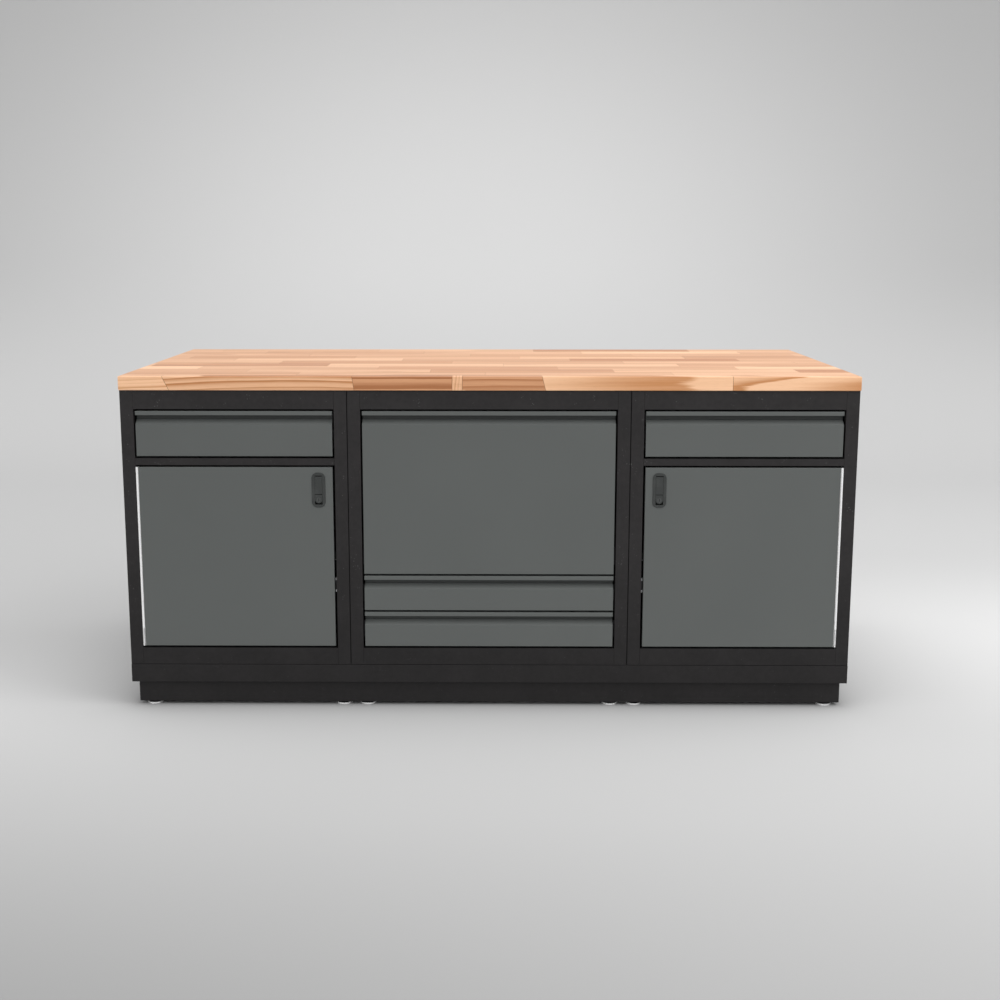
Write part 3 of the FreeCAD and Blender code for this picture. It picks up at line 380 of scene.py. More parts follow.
def black_slide_plate():
    """Black plated steel, oily in places, with faint lines drawn along the slide."""
    material, start, shader = finish("black_slide_plate")
    lines = grain_noise(start, stretched(start, (700.0, 12.0, 700.0)))
    oil = grain_noise(start, stretched(start, (40.0, 12.0, 40.0)))
    start.feed(shader.inputs["Base Color"], lines.mix((0.020, 0.020, 0.022), (0.048, 0.048, 0.052)))
    start.feed(shader.inputs["Roughness"], 0.28 + lines * 0.12 + oil * 0.16)
    shader.inputs["Metallic"].default_value = 0.35
    return material


foot_plate = foot_plate_painted_light()
slide_black = black_slide_plate()
print("finishes:", foot_plate.name, slide_black.name)

# %% [markdown]
# The latches are die-cast and sprayed a matt dark grey, and rubbed a little brighter where
# fingers work; the lock's plug is dark plated. A door catch is a small moulded block that holds
# its magnet between two bright steel ends. The catch is one engineered piece as well, so its
# finish tells the ends from the block by their distance from the middle.

# %% Cast latch grey and lock plug
def cast_latch_grey():
    """Dark grey over a casting's soft unevenness, with rubbed, glossier clouds."""
    material, start, shader = finish("cast_latch_grey")
    place = own_place(start)
    cast = grain_noise(start, place, scale=420.0, detail=3.0)
    rubbed = grain_noise(start, place, scale=38.0).ramp(0.45, 0.72)
    tone = (rubbed * 0.6 + cast * 0.4).mix((0.038, 0.041, 0.040), (0.055, 0.059, 0.057))
    start.feed(shader.inputs["Base Color"], tone)
    start.feed(shader.inputs["Roughness"], 0.52 - rubbed * 0.10 + cast * 0.08)
    shader.inputs["Specular IOR Level"].default_value = 0.28
    bumped(start, shader, cast, 0.15, 0.0003)
    return material


def dark_lock_plug():
    """Dark plated metal with turning marks, worn a little in patches."""
    material, start, shader = finish("dark_lock_plug")
    wear = grain_noise(start, own_place(start), scale=260.0, detail=3.0)
    marks = grain_noise(start, stretched(start, (1.0, 3.0, 1.0)), scale=900.0, detail=1.0)
    start.feed(shader.inputs["Base Color"], wear.mix((0.052, 0.055, 0.055), (0.106, 0.110, 0.109)))
    start.feed(shader.inputs["Roughness"], 0.38 + wear * 0.16 + marks * 0.06)
    shader.inputs["Metallic"].default_value = 0.6
    return material


latch_grey = cast_latch_grey()
lock_steel = dark_lock_plug()
print("finishes:", latch_grey.name, lock_steel.name)

# %% Door catch
CATCH_END = 0.007


def moulded_catch():
    """Dark moulded plastic between two bright ends."""
    material, start, shader = finish("moulded_catch")
    place = own_place(start)
    mottle = grain_noise(start, place, scale=210.0)
    low, high = (corner[2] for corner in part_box("door_catches"))
    _, _, level = axes_of(start, place)
    ends = abs(level - (low + high) / 2) > (high - low) / 2 - CATCH_END
    plastic = mottle.mix((0.030, 0.030, 0.031), (0.046, 0.046, 0.047))
    steel = mottle.mix((0.58, 0.59, 0.60), (0.74, 0.75, 0.76))
    start.feed(shader.inputs["Base Color"], ends.mix(plastic, steel))
    start.feed(shader.inputs["Roughness"], 0.48 - ends * 0.12 + mottle * 0.10)
    start.feed(shader.inputs["Metallic"], ends * 0.6)
    return material


catch_plastic = moulded_catch()
print("finish:", catch_plastic.name)

# %% [markdown]
# Each engineered piece already names the stuff it is made of. Finishes could be given piece by
# piece; going by that name covers them all, and a short list holds the pieces with their own.

# %% Give every engineered piece its finish
FINISHES = {
    "frame_black": black_coat,
    "front_grey": grey_coat,
    "zinc": zinc,
    "hinge_steel": hinge_steel,
    "slide_black": slide_black,
    "latch_grey": latch_grey,
    "lock_steel": lock_steel,
    "catch_plastic": catch_plastic,
}
OWN_FINISH = {
    "levelling_feet": foot_plate,
    **front_coats,
}
finished = 0
for part in frame["record"]["subparts"]:
    coat = OWN_FINISH.get(part["node"], FINISHES.get(part["material_slot"]))
    if coat:
        piece = nodes[part["node"]]
        piece.data.materials.clear()
        piece.data.materials.append(coat)
        finished += 1
print("finished nodes:", finished)

# %% [markdown]
# The worktop is one slab, glued from long staves with butt joints. A texture alone can't keep
# each stave's colour inside its own joints, also on the front edge, so the slab is made again as
# a surface: a rounded section carried along the island, with a cross line at each joint. Every
# face then knows its stave, and stores that stave's shade and a number that moves its grain.

# %% Measures of the slab and its staves
slab_low, slab_high = (np.array(corner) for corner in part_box("worktop"))
SLAB_MIDDLE = (slab_low + slab_high) / 2
SLAB_HALF = (slab_high - slab_low) / 2
EDGE_RADIUS = 0.0025
STAVE_WIDTH = 0.0895
STAVE_LENGTH = 0.508
STAVE_SHIFT = 0.1524
FIRST_JOINT = -0.8746
STAVE_ROWS = 11
STAVES_PER_ROW = 8
FRONT_ROW = STAVE_ROWS - 1
# A short filler piece stands between two of the front row's staves
FILLER = (-0.0990, -0.0712)
# How far the front row's joints lean between top and underside, by joint
LEANS = (0.0188, 0.0062, 0.0095, 0.0)
row_lines = SLAB_HALF[1] - STAVE_WIDTH * np.arange(1, STAVE_ROWS)
print("slab", np.round(2 * SLAB_HALF, 4), "rows between", np.round(row_lines, 3))


# %% The slab's section and its stations
JOINTS_TRIED = 5
SHARPEST_CORNER = 0.0002


def joints_of(row):
    """Joint places of a row: a fixed stave length, moved on by a fixed step from row to row."""
    start = FIRST_JOINT + STAVE_SHIFT * row
    start -= STAVE_LENGTH * np.floor((start + SLAB_HALF[0]) / STAVE_LENGTH)
    places = start + STAVE_LENGTH * np.arange(JOINTS_TRIED)
    places = places[places < SLAB_HALF[0] - EDGE_RADIUS]
    return np.sort(np.append(places, FILLER)) if row == FRONT_ROW else places


def slab_section(inset):
    """A closed loop of y and z: a rectangle with quarter-round corners, drawn in by an inset, with
    a point at each line between rows on top and underside."""
    radius = max(EDGE_RADIUS - inset, SHARPEST_CORNER)
    turn = np.linspace(0.0, np.pi / 2, 5)
    y_far, z_far = SLAB_HALF[1] - inset - radius, SLAB_HALF[2] - inset - radius
    corner = radius * np.stack([np.cos(turn), np.sin(turn)], 1)
    rear_top = corner + [y_far, z_far]
    top = np.stack([row_lines, np.full(row_lines.shape, z_far + radius)], 1)
    front_top = corner[::-1] * [-1, 1] + [-y_far, z_far]
    upper = np.concatenate([rear_top, top, front_top])
    return np.concatenate([upper, upper[::-1] * [1, -1]])


def slab_stations():
    """Places along the island: the rounded ends, and every joint of every row."""
    ease = np.linspace(0.0, np.pi / 2, 4)
    depth = EDGE_RADIUS * (1 - np.sin(ease))
    ends = SLAB_HALF[0] - depth
    joints = np.unique(np.round(np.concatenate([joints_of(row) for row in range(STAVE_ROWS)]), 5))
    places = np.concatenate([-ends[::-1], joints, ends])
    inset = EDGE_RADIUS * (1 - np.cos(ease))
    insets = np.concatenate([inset[::-1], np.zeros(len(joints)), inset])
    return places, insets


print("joints in the front row:", np.round(joints_of(FRONT_ROW), 3))


# %% The slab's surface
def slab_points():
    """Carry the section along the stations; the front row's joints lean as they go down."""
    places, insets = slab_stations()
    loops = np.stack([slab_section(inset) for inset in insets])
    across = np.broadcast_to(places[:, None, None], loops.shape[:2] + (1,))
    points = np.concatenate([across, loops], 2)
    drop = (SLAB_HALF[2] - points[..., 2]) / (2 * SLAB_HALF[2])
    in_front = points[..., 1] < row_lines[-1] - 1e-6
    fronts = [place for place in joints_of(FRONT_ROW) if min(abs(place - end) for end in FILLER) > 1e-6]
    for joint, lean in zip(fronts, LEANS):
        at_joint = np.abs(places - joint) < 1e-4
        points[..., 0] += np.where(at_joint[:, None] & in_front, lean * drop, 0.0)
    return points + [0.0, 0.0, SLAB_MIDDLE[2]]


def slab_faces(stations, ring):
    """Quads between neighbouring sections and a ruled cap of quads over each end, all outwards."""
    index = np.arange(stations * ring).reshape(stations, ring)
    after = np.roll(index, -1, axis=1)
    sides = np.stack([index[:-1], index[1:], after[1:], after[:-1]], -1).reshape(-1, 4)
    half = ring // 2
    top, under = np.arange(half), ring - 1 - np.arange(half)
    cap = np.stack([top[:-1], top[1:], under[1:], under[:-1]], -1)
    low, high = index[0][cap], index[-1][cap][:, ::-1]
    return np.concatenate([sides, low, high])[:, ::-1]


slab = slab_points()
faces = slab_faces(*slab.shape[:2])
worktop_mesh = bpy.data.meshes.new("worktop_staves")
worktop_mesh.from_pydata(slab.reshape(-1, 3).tolist(), [], faces.tolist())
print("slab surface:", len(slab), "sections,", len(faces), "faces")

# %% [markdown]
# A stave keeps the colour of its tree, so some are pale and some dark. Random shades would give a
# likely worktop, but not this one, so the staves that stand out have their shade judged one by one.
# A seed between 0 and 1 then moves each stave to its own part of the noise.

# %% Which stave a face belongs to, and its shade
# From dark, -1, to pale, 1, for staves off the middle shade: rows from the rear, staves from the left
STAVE_SHADES = {
    0: {2: 0.4, 3: -0.9, 4: 0.2},
    1: {1: -0.2, 2: 0.3, 3: 1.0},
    2: {0: 0.1, 1: -0.1, 2: -0.3, 3: -0.2, 4: 0.3},
    3: {1: -0.5, 3: 1.0, 4: -0.4},
    4: {0: 0.1, 1: 0.6, 2: -0.1, 3: -1.0},
    5: {0: 0.5, 1: -0.6, 2: -0.2, 3: 0.1},
    6: {0: 0.2, 1: -0.8, 2: 0.5, 3: 0.5, 4: -0.3},
    7: {0: 1.0, 1: 0.2, 2: -0.6, 4: 1.0},
    8: {0: -0.3, 1: 0.1, 2: -0.7, 3: 0.5, 4: -1.0},
    9: {0: -0.2, 3: 0.3, 4: 0.3},
    FRONT_ROW: {0: 1.0, 1: 0.52, 2: -0.76, 3: 0.55, 4: -0.62, 5: 1.0, 6: 1.0},
}
TYPICAL_LEAN = 0.009
GOLDEN_SHARE = 0.6180339


def stave_of(middles):
    """Row and stave number of each face middle: how many lines lie behind it, and how many joints
    to its left."""
    rows = np.searchsorted(-row_lines, -middles[:, 1])
    numbers = np.zeros(len(middles), int)
    for row in range(STAVE_ROWS):
        here = rows == row
        numbers[here] = np.searchsorted(joints_of(row), middles[here, 0])
    return rows, numbers


def face_knows(name, kind, field, values):
    """Store a number or a vector with each face of the worktop."""
    layer = worktop_mesh.attributes.new(name, kind, "FACE")
    layer.data.foreach_set(field, values.astype(np.float32).ravel())


middles = slab.reshape(-1, 3)[faces].mean(1)
drop = (SLAB_MIDDLE[2] + SLAB_HALF[2] - middles[:, 2]) / (2 * SLAB_HALF[2])
rows, numbers = stave_of(middles - TYPICAL_LEAN * drop[:, None] * [1, 0, 0])
shade_of = np.zeros((STAVE_ROWS, STAVES_PER_ROW))
for row, known in STAVE_SHADES.items():
    shade_of[row, list(known)] = list(known.values())
shades = shade_of[rows, numbers]
seeds = ((rows * 7.31 + numbers * 3.17 + 0.37) * GOLDEN_SHARE) % 1.0
face_knows("stave_shade", "FLOAT", "value", shades)
face_knows("stave_seed", "FLOAT", "value", seeds)
print("staves:", len(np.unique(seeds)), "shades from", shades.min(), "to", shades.max())

# %% [markdown]
# Wood grain is what a saw shows of a trunk's yearly rings. Wave textures can fake the lines, but
# they never turn into the arches that a flat-sawn board has. Here each stave gets its own trunk:
# the distance to a wandering pith is counted in rings, so top, front edge and ends agree.

# %% Each stave's own trunk
# Where each front stave lay in its trunk: pith behind the front line and over the slab's middle, in
# metres, the trunk's taper, the bow of its fibres, the place along the island where the bow is
# highest, and the yearly rings to a metre, below zero where the bark side is inward
FRONT_TRUNKS = np.array([
    [0.030, 0.110, 0.030, 0.05, -0.900, 95.0],
    [0.020, -0.136, 0.002, 0.10, -0.520, 62.0],
    [0.015, 0.241, 0.004, 0.02, -0.230, 47.0],
    [0.004, 0.060, 8.000, 0.00, -0.080, 13.0],
    [0.030, -0.149, -0.006, 0.03, 0.030, 55.0],
    [0.030, 0.001, -0.167, 0.00, 0.708, -15.0],
    [0.030, -0.012, -0.075, 0.00, 0.962, -40.0],
])
# How strongly the rings of each front stave show
FRONT_FIGURE = [1.3, 2.6, 2.7, 1.4, 2.2, 2.7, 2.5]

dice = np.random.default_rng(11)
stave_count = STAVE_ROWS * STAVES_PER_ROW
trunks = np.stack([
    dice.uniform(-0.045, 0.045, stave_count),
    -dice.uniform(0.020, 0.110, stave_count),
    dice.uniform(-0.012, 0.012, stave_count),
    dice.uniform(-0.03, 0.03, stave_count),
    dice.uniform(-0.9, 0.9, stave_count),
    dice.uniform(28.0, 60.0, stave_count),
], 1)
stave_edges = np.concatenate([[SLAB_HALF[1]], row_lines, [-SLAB_HALF[1]]])
trunks[:, 0] += np.repeat((stave_edges[:-1] + stave_edges[1:]) / 2, STAVES_PER_ROW)
front_staves = FRONT_ROW * STAVES_PER_ROW + np.arange(len(FRONT_TRUNKS))
trunks[front_staves] = FRONT_TRUNKS
trunks[front_staves, 0] -= SLAB_HALF[1]
trunk_of_face = trunks[rows * STAVES_PER_ROW + numbers]
face_knows("trunk", "FLOAT_VECTOR", "vector", trunk_of_face[:, :3])
face_knows("fibre_bow", "FLOAT_VECTOR", "vector", trunk_of_face[:, 3:])
print("trunks:", stave_count, "rings to a metre:", np.round([trunks[:, 5].min(), trunks[:, 5].max()], 1))

# %% Where each stave begins, and the worktop as a piece
OFF_THE_SLAB = -9.0
LEANING_STAVES = [1, 2, 5, 6]

starts = np.full((STAVE_ROWS, STAVES_PER_ROW), OFF_THE_SLAB)
for row in range(STAVE_ROWS):
    places = joints_of(row)
    starts[row, 1:len(places) + 1] = places
lean_of = np.zeros((STAVE_ROWS, STAVES_PER_ROW))
lean_of[FRONT_ROW, LEANING_STAVES] = LEANS
figure = dice.uniform(0.5, 1.1, (STAVE_ROWS, STAVES_PER_ROW))
figure[FRONT_ROW, :len(FRONT_FIGURE)] = FRONT_FIGURE
joint_line = np.stack([table[rows, numbers] for table in (starts, lean_of, figure)], 1)
face_knows("joint_line", "FLOAT_VECTOR", "vector", joint_line)

worktop = bpy.data.objects.new("worktop_staves", worktop_mesh)
bpy.context.scene.collection.objects.link(worktop)
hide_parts("worktop")
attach(worktop, "island")
print("worktop:", len(faces), "faces,", int((starts > OFF_THE_SLAB).sum()), "butt joints")


# %% Yearly rings of a stave
def of_stave(start, name, output="Vector"):
    """What each face knows of its stave."""
    return start.node("ShaderNodeAttribute", output, {"attribute_name": name})


def yearly_rings(start, seed):
    """The distance to the stave's own pith, drawn out by the trunk's taper and bent by the fibres'
    bow, counted in rings that are a little uneven. Large multiples of the seed keep the staves'
    noises apart."""
    pith_y, pith_z, taper = axes_of(start, of_stave(start, "trunk"))
    bend, crest, count = axes_of(start, of_stave(start, "fibre_bow"))
    x, y, z = axes_of(start, own_place(start))
    from_crest = x - crest
    run = start.node("ShaderNodeCombineXYZ", i0=x + seed * 37.0, i1=y * 3.0 + seed * 91.0, i2=z * 6.0)
    wander = grain_noise(start, run, scale=2.6) - 0.5
    off_y = y - pith_y
    off_z = z - float(SLAB_MIDDLE[2]) - pith_z + bend * from_crest * from_crest + wander * 0.005
    reach = start.maths("SQRT", off_y * off_y + off_z * off_z) + taper * from_crest
    ripple = grain_noise(start, stretched(start, (7.0, 120.0, 120.0)), detail=3.0) - 0.5
    years = start.node("ShaderNodeCombineXYZ", i0=reach * count * 0.7, i1=seed * 53.0)
    uneven = grain_noise(start, years, detail=1.0) - 0.5
    return reach * count + uneven * 0.9 + ripple * 0.22 + wander * 0.25


def late_wood(start, rings, seed):
    """The dark end of each ring, which grows slowly and stops at once, and how strong each year is."""
    saw = start.maths("FRACT", rings)
    late = saw ** 2.2 * (1.0 - saw.ramp(0.90, 1.0))
    season = start.node("ShaderNodeCombineXYZ", i0=rings * 0.8, i1=seed * 17.0)
    return late, grain_noise(start, season, detail=1.0).ramp(0.30, 0.68)


print("trunks known from the picture:", len(FRONT_TRUNKS), "drawn:", stave_count - len(FRONT_TRUNKS))


# %% Oiled stave wood
TOP_BAND = 0.0012


def joint_marks(start, on_edge):
    """Glue lines between rows, and butt joints that lean as the stave's own joint does: both dark,
    the joints more so on the front edge."""
    joint, lean, _ = axes_of(start, of_stave(start, "joint_line"))
    x, y, z = axes_of(start, own_place(start))
    line = start.maths("FRACT", (float(SLAB_HALF[1]) - y) / STAVE_WIDTH)
    glue = 1.0 - start.maths("MINIMUM", line, 1.0 - line).ramp(0.0020, 0.0070)
    drop = (float(slab_high[2]) - z) / float(2 * SLAB_HALF[2])
    butt = 1.0 - abs(x - joint - lean * drop).ramp(0.0005, 0.0018)
    return glue * 0.30, butt * (0.40 + on_edge * 0.45)


def stave_wood():
    """Rings, fine fibres, pores and streaks between two tones of the stave's own shade, dark marks
    at the joints, a front edge painted warmer and paler, and a thin grey painted sheen on the top."""
    material, start, shader = finish("stave_wood")
    shade = of_stave(start, "stave_shade", "Fac")
    seed = of_stave(start, "stave_seed", "Fac")
    _, _, figure = axes_of(start, of_stave(start, "joint_line"))
    _, y, z = axes_of(start, own_place(start))
    on_edge = y < EDGE_RADIUS - float(SLAB_HALF[1])
    on_top = z > float(slab_high[2]) - TOP_BAND
    late, year = late_wood(start, yearly_rings(start, seed), seed)
    fibre = grain_noise(start, stretched(start, (8.0, 420.0, 420.0)), detail=4.0, roughness=0.65)
    pore = grain_noise(start, stretched(start, (34.0, 1500.0, 1500.0)), detail=1.0).ramp(0.62, 0.76)
    streak = grain_noise(start, stretched(start, (1.2, 36.0, 60.0)), detail=3.0)
    broad = grain_noise(start, stretched(start, (0.9, 21.0, 21.0)))
    depth = late * (0.25 + year * 0.45) * figure + (fibre - 0.38) * 0.34 + (streak - 0.38) * 0.75
    # painted light: the front edge is made paler than the top
    depth = depth + (broad - 0.5) * 0.65 - on_edge * 0.10
    pale = depth.mix((0.980, 0.632, 0.398), (0.56, 0.260, 0.108))
    dark = depth.mix((0.620, 0.310, 0.160), (0.32, 0.128, 0.055))
    body = (0.5 - shade * 0.5).mix(pale, dark)
    # painted light: the front edge toned warmer, and the top given a thin grey painted sheen, for how light
    # and sheen fall on each
    body = (on_edge * 0.12).mix(body, (0.95, 0.36, 0.13))
    top_painted_sheen = (on_top * 0.10).mix(body, (0.42, 0.37, 0.405))
    glue, butt = joint_marks(start, on_edge)
    marks = start.maths("MAXIMUM", pore * 0.22, start.maths("MAXIMUM", glue, butt))
    start.feed(shader.inputs["Base Color"], marks.mix(top_painted_sheen, (0.22, 0.095, 0.042)))
    start.feed(shader.inputs["Roughness"], 0.50 + fibre * 0.14 - late * 0.06)
    shader.inputs["Specular IOR Level"].default_value = 0.22
    bumped(start, shader, fibre * 0.6 - pore * 0.8 - butt, 0.10, 0.0003)
    return material


wood = stave_wood()
worktop_mesh.materials.append(wood)
print("finish:", wood.name)

# %% [markdown]
# A die-cast latch has no sharp rim: its plate ends in a soft bead that beds on the door's paint. A
# bevel on the engineered plate would change its shape, so the bead is a piece of its own: a small
# rounded profile carried once round the plate's outline.

# %% Outline and bead of a latch plate
PLATE_HALF_WIDTH = 0.018
PLATE_HALF_HEIGHT = 0.0475
PLATE_CORNER = 0.015
PLATE_STANDS_OFF = 0.0016
BEAD_OUT = np.array([-2.8, -2.2, -1.4, -0.6, 0.0, 0.33, 0.45, 0.45]) / 1000
BEAD_UP = np.array([1.4, 1.75, 1.88, 1.82, 1.5, 1.05, 0.5, -0.1]) / 1000


def outline_of_plate():
    """A rectangle with quarter-round corners, as points and outward directions, all the way round."""
    turn = np.linspace(0.0, np.pi / 2, 13)
    quarters = np.arange(4)[:, None] * np.pi / 2 + turn
    outwards = np.stack([np.cos(quarters), np.sin(quarters)], -1)
    corner_x = (PLATE_HALF_WIDTH - PLATE_CORNER) * np.array([1, -1, -1, 1])
    corner_z = (PLATE_HALF_HEIGHT - PLATE_CORNER) * np.array([1, 1, -1, -1])
    corners = np.stack([corner_x, corner_z], -1)[:, None]
    return (corners + PLATE_CORNER * outwards).reshape(-1, 2), outwards.reshape(-1, 2)


def rim_points(node_name):
    """Outline point plus direction times the bead's way out; height off the door in front of it."""
    low, high = (np.array(corner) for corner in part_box(node_name))
    middle = (low + high) / 2
    outline, outwards = outline_of_plate()
    flat = outline[:, None] + outwards[:, None] * BEAD_OUT[:, None]
    door_face = low[1] + PLATE_STANDS_OFF
    depth = np.broadcast_to(door_face - BEAD_UP, flat.shape[:2])
    return np.stack([middle[0] + flat[..., 0], depth, middle[2] + flat[..., 1]], -1)


print("bead of", len(BEAD_OUT), "points round an outline of", len(outline_of_plate()[0]))


# %% Rims of the latch plates
def closed_tube(points):
    """Quads of a grid whose first direction closes on itself."""
    index = np.arange(points.shape[0] * points.shape[1]).reshape(points.shape[:2])
    after = np.roll(index, -1, axis=0)
    return np.stack([index[:, :-1], index[:, 1:], after[:, 1:], after[:, :-1]], -1).reshape(-1, 4)


def new_piece(name, points, quads, coat, body):
    """A smooth mesh piece, its poles closed, with a finish; it rides on a body."""
    mesh = bpy.data.meshes.new(name)
    mesh.from_pydata(points.reshape(-1, 3).tolist(), [], quads.tolist())
    skin = bmesh.new()
    skin.from_mesh(mesh)
    bmesh.ops.remove_doubles(skin, verts=skin.verts, dist=1e-6)
    skin.to_mesh(mesh)
    skin.free()
    mesh.shade_smooth()
    mesh.materials.append(coat)
    piece = bpy.data.objects.new(name, mesh)
    bpy.context.scene.collection.objects.link(piece)
    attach(piece, body)


for side in ("left", "right"):
    rim = rim_points(f"{side}_latch_housing")
    new_piece(f"{side}_latch_rim", rim, closed_tube(rim), latch_grey, f"{side}_door")
    print(side, "latch rim:", rim.shape[0], "by", rim.shape[1], "points")

# %% [markdown]
# Each leaf of a piano hinge is held by a row of flat screws with a cross slot. They show only on an
# open door. One head is a low dome over a polar grid, pressed in along the two arms of the slot;
# the row repeats it up the leaf.

# %% One screw head and a row of them
SCREW_RADIUS = 0.0029
SCREW_HEIGHT = 0.0006
SLOT_HALF_WIDTH = 0.13
SLOT_REACH = 0.62
SLOT_DEPTH = 0.75
SCREWS_PER_LEAF = 7
LEAF_END_MARGIN = 0.03


def screw_head():
    """Height over a disc: a dome that falls with the square of the radius, less a cross slot."""
    ring, turn = np.meshgrid(np.linspace(0.0, 1.0, 9), np.linspace(0.0, 2 * np.pi, 24, endpoint=False))
    across, along = ring * np.cos(turn), ring * np.sin(turn)
    arms = np.minimum(np.abs(across), np.abs(along)) < SLOT_HALF_WIDTH
    slot = np.where(arms & (ring < SLOT_REACH), SLOT_DEPTH, 0.0)
    height = SCREW_HEIGHT * (1 - slot) * (1 - ring ** 2)
    return SCREW_RADIUS * across, SCREW_RADIUS * along, height


def screw_row(face_x, away, y, low_z, high_z):
    """Heads on a leaf's face at x, standing off it to one side, evenly spaced up the leaf."""
    across, along, height = screw_head()
    levels = np.linspace(low_z + LEAF_END_MARGIN, high_z - LEAF_END_MARGIN, SCREWS_PER_LEAF)
    shape = (SCREWS_PER_LEAF,) + across.shape
    return np.stack([np.broadcast_to(face_x + away * height, shape),
                     np.broadcast_to(y + across * away, shape),
                     levels[:, None, None] + along], -1)


def screw_quads(points):
    """Quads of every head in the row, each closed round its middle."""
    grid = closed_tube(points[0])
    step = np.arange(len(points))[:, None, None] * points[0][..., 0].size
    return (grid + step).reshape(-1, 4)


print("one screw head:", screw_head()[0].size, "points")

# %% Screws of the hinge leaves
LEAF_SHEET = 0.001
HINGE_GAP = 0.0068
BEHIND_LEAF_MIDDLE = 0.003

for side, away in (("left", 1), ("right", -1)):
    low, high = (np.array(corner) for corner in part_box(f"{side}_door_hinge_leaf"))
    door_edge = high[0] if side == "left" else low[0]
    screw_y = (low[1] + high[1]) / 2 + BEHIND_LEAF_MIDDLE
    on_door = screw_row(door_edge - away * LEAF_SHEET, -away, screw_y, low[2], high[2])
    on_frame = screw_row(door_edge - away * (HINGE_GAP - LEAF_SHEET), away, screw_y, low[2], high[2])
    for leaf, body, heads in (("door", f"{side}_door", on_door), ("frame", "island", on_frame)):
        label = f"{side}_{leaf}_leaf_screws"
        new_piece(label, heads, screw_quads(heads), zinc, body)
        print(label, SCREWS_PER_LEAF, "heads")

# %% [markdown]
# The studio is one pale sheet that runs from the floor up behind the object in a soft sweep, so
# that no corner shows. It is only a stage, not a part of the object. A single grey would do for a
# plain background; instead the fall of the light is painted into the paper's tone, which changes
# slowly over the floor and the wall, with a painted glow on the wall, and a painted contact shadow
# makes it darker in a narrow band round the base, where light hardly gets in.

# %% The pale sweep
BEND_RADIUS = 3.0
WALL_FOOT = 3.2
SHEET_REACH = 9.0
SHEET_HALF_WIDTH = 12.0


def sweep_sheet():
    """A profile, floor then quarter circle then wall, carried sideways."""
    turn = np.linspace(0.0, np.pi / 2, 24)
    bend = np.stack([WALL_FOOT + BEND_RADIUS * np.sin(turn), BEND_RADIUS * (1 - np.cos(turn))], 1)
    profile = np.concatenate([[[-SHEET_REACH, 0.0]], bend, [[WALL_FOOT + BEND_RADIUS, SHEET_REACH]]])
    sides = np.array([-SHEET_HALF_WIDTH, SHEET_HALF_WIDTH])
    points = np.stack([np.repeat(sides, len(profile)), *np.tile(profile, (2, 1)).T], 1)
    first = np.arange(len(profile) - 1)
    quads = np.stack([first, first + len(profile), first + len(profile) + 1, first + 1], 1)
    return points, quads


points, quads = sweep_sheet()
sweep_mesh = bpy.data.meshes.new("studio_sweep")
sweep_mesh.from_pydata(points.tolist(), [], quads.tolist())
sweep_mesh.shade_smooth()
sweep = bpy.data.objects.new("studio_sweep", sweep_mesh)
bpy.context.scene.collection.objects.link(sweep)
print("sweep:", len(quads), "quads")

# %% Paper of the sweep
CONTACT_FADE = 0.031
CONTACT_SHADE = 0.36


def grey(value):
    """A plain grey as red, green and blue."""
    return (value, value, value)


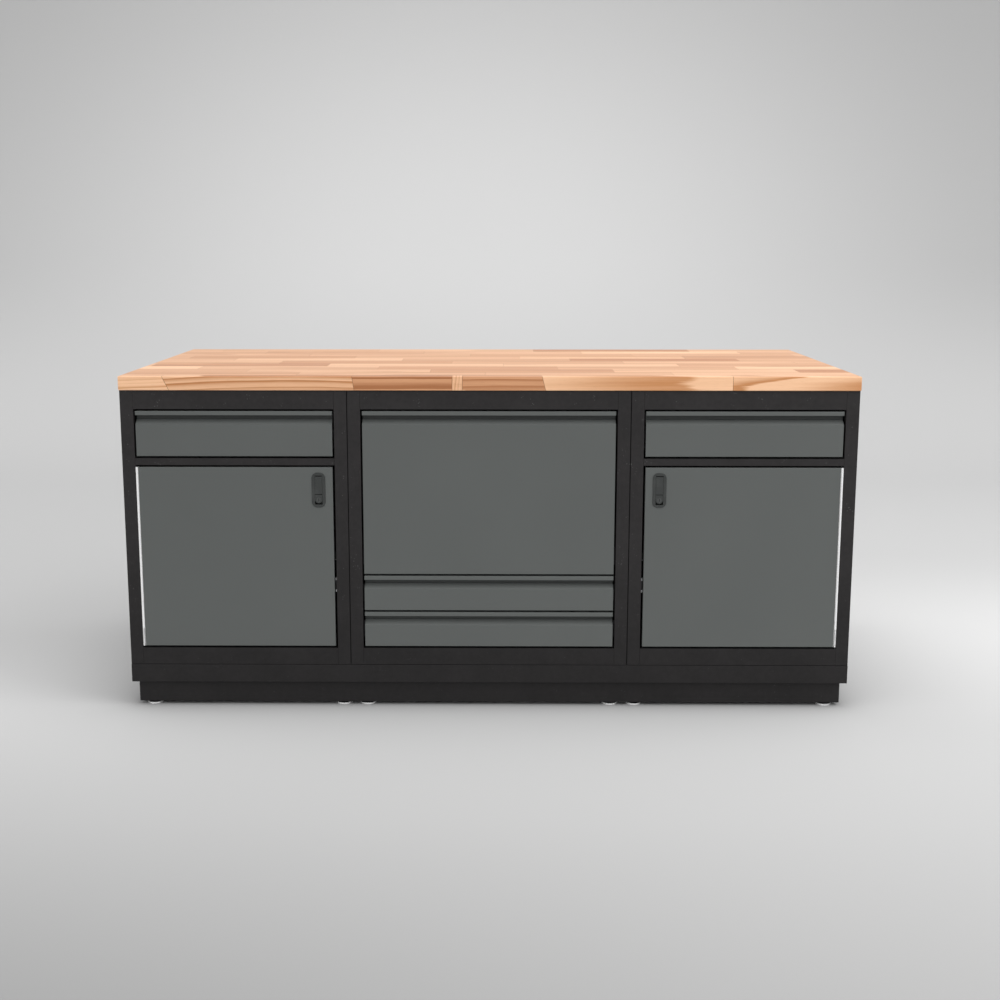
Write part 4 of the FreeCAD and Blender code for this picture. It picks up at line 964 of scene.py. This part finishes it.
def floor_tone(start, x, y):
    """Painted light: greys from near to far and from left to right, and at the base a painted shadow
    that halves with every few centimetres."""
    side = x.ramp(-1.6, 1.6)
    closer = side.mix(grey(0.200), grey(0.378))
    under = side.mix(grey(0.720), grey(0.656))
    behind = side.mix(grey(0.565), grey(0.720))
    beyond = side.mix(grey(0.540), grey(0.590))
    tone = y.ramp(-0.7, 0.3).mix(y.ramp(-3.2, 0.6).mix(closer, under), behind)
    tone = y.ramp(0.1, 1.5).mix(tone, beyond)
    base_x, base_y, _ = (float(reach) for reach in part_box("toe_kicks")[1])
    from_side = start.maths("MAXIMUM", abs(x) - base_x, 0.0)
    from_front = start.maths("MAXIMUM", abs(y) - base_y, 0.0)
    from_base = start.maths("SQRT", from_side * from_side + from_front * from_front)
    # painted contact shadow round the base
    return (0.5 ** (from_base / CONTACT_FADE) * CONTACT_SHADE).mix(tone, grey(0.0))


def wall_tone(start, x, z):
    """A painted pool of light: a pale oval glow on a darker wall, evened out towards the floor."""
    aside, height = x + 0.25, z - 1.2
    glow = 1.0 - start.maths("SQRT", aside * aside + height * height * 1.4).ramp(0.3, 4.6)
    return z.ramp(0.0, 1.2).mix(grey(0.600), glow.mix(grey(0.460), grey(0.655)))


paper, start, shader = finish("studio_paper")
x, y, z = axes_of(start, own_place(start))
paper_tone = y.ramp(0.5, 5.0).mix(floor_tone(start, x, y), wall_tone(start, x, z))
start.feed(shader.inputs["Base Color"], paper_tone)
shader.inputs["Roughness"].default_value = 0.8
shader.inputs["Specular IOR Level"].default_value = 0.1
sweep_mesh.materials.append(paper)
print("stage:", sweep.name, "in", paper.name)

# %% [markdown]
# Soft studio light: a wide even sky, a large softbox high on the right, whose soft shadow falls to
# the left, and another straight above. A lamp in front would shine into the finger grooves and up to
# the toe-kick; from above, each lip pull shades its groove and the base keeps its contact shadow.

# %% Lights
SKY_STRENGTH = 1.10


def softbox(name, place, target, size, power):
    """A square lamp of a size in metres that faces a target."""
    lamp = bpy.data.lights.new(name, "AREA")
    lamp.shape = "SQUARE"
    lamp.size = size
    lamp.energy = power
    holder = bpy.data.objects.new(name, lamp)
    bpy.context.scene.collection.objects.link(holder)
    holder.location = place
    holder.rotation_mode = "QUATERNION"
    holder.rotation_quaternion = (Vector(target) - Vector(place)).to_track_quat("-Z", "Y")
    return holder


sky = bpy.data.worlds.new("studio_sky")
bpy.context.scene.world = sky
sky.use_nodes = True
sky_light = sky.node_tree.nodes["Background"]
sky_light.inputs["Color"].default_value = (1.0, 1.0, 1.0, 1.0)
sky_light.inputs["Strength"].default_value = SKY_STRENGTH
right = softbox("softbox_right", place=(3.4, -1.6, 4.2), target=(0.0, 0.0, 0.5), size=3.4, power=80.0)
above = softbox("softbox_above", place=(-0.3, 0.1, 5.6), target=(-0.1, 0.0, 0.9), size=2.4, power=38.0)
print("lights:", sky.name, right.name, above.name)
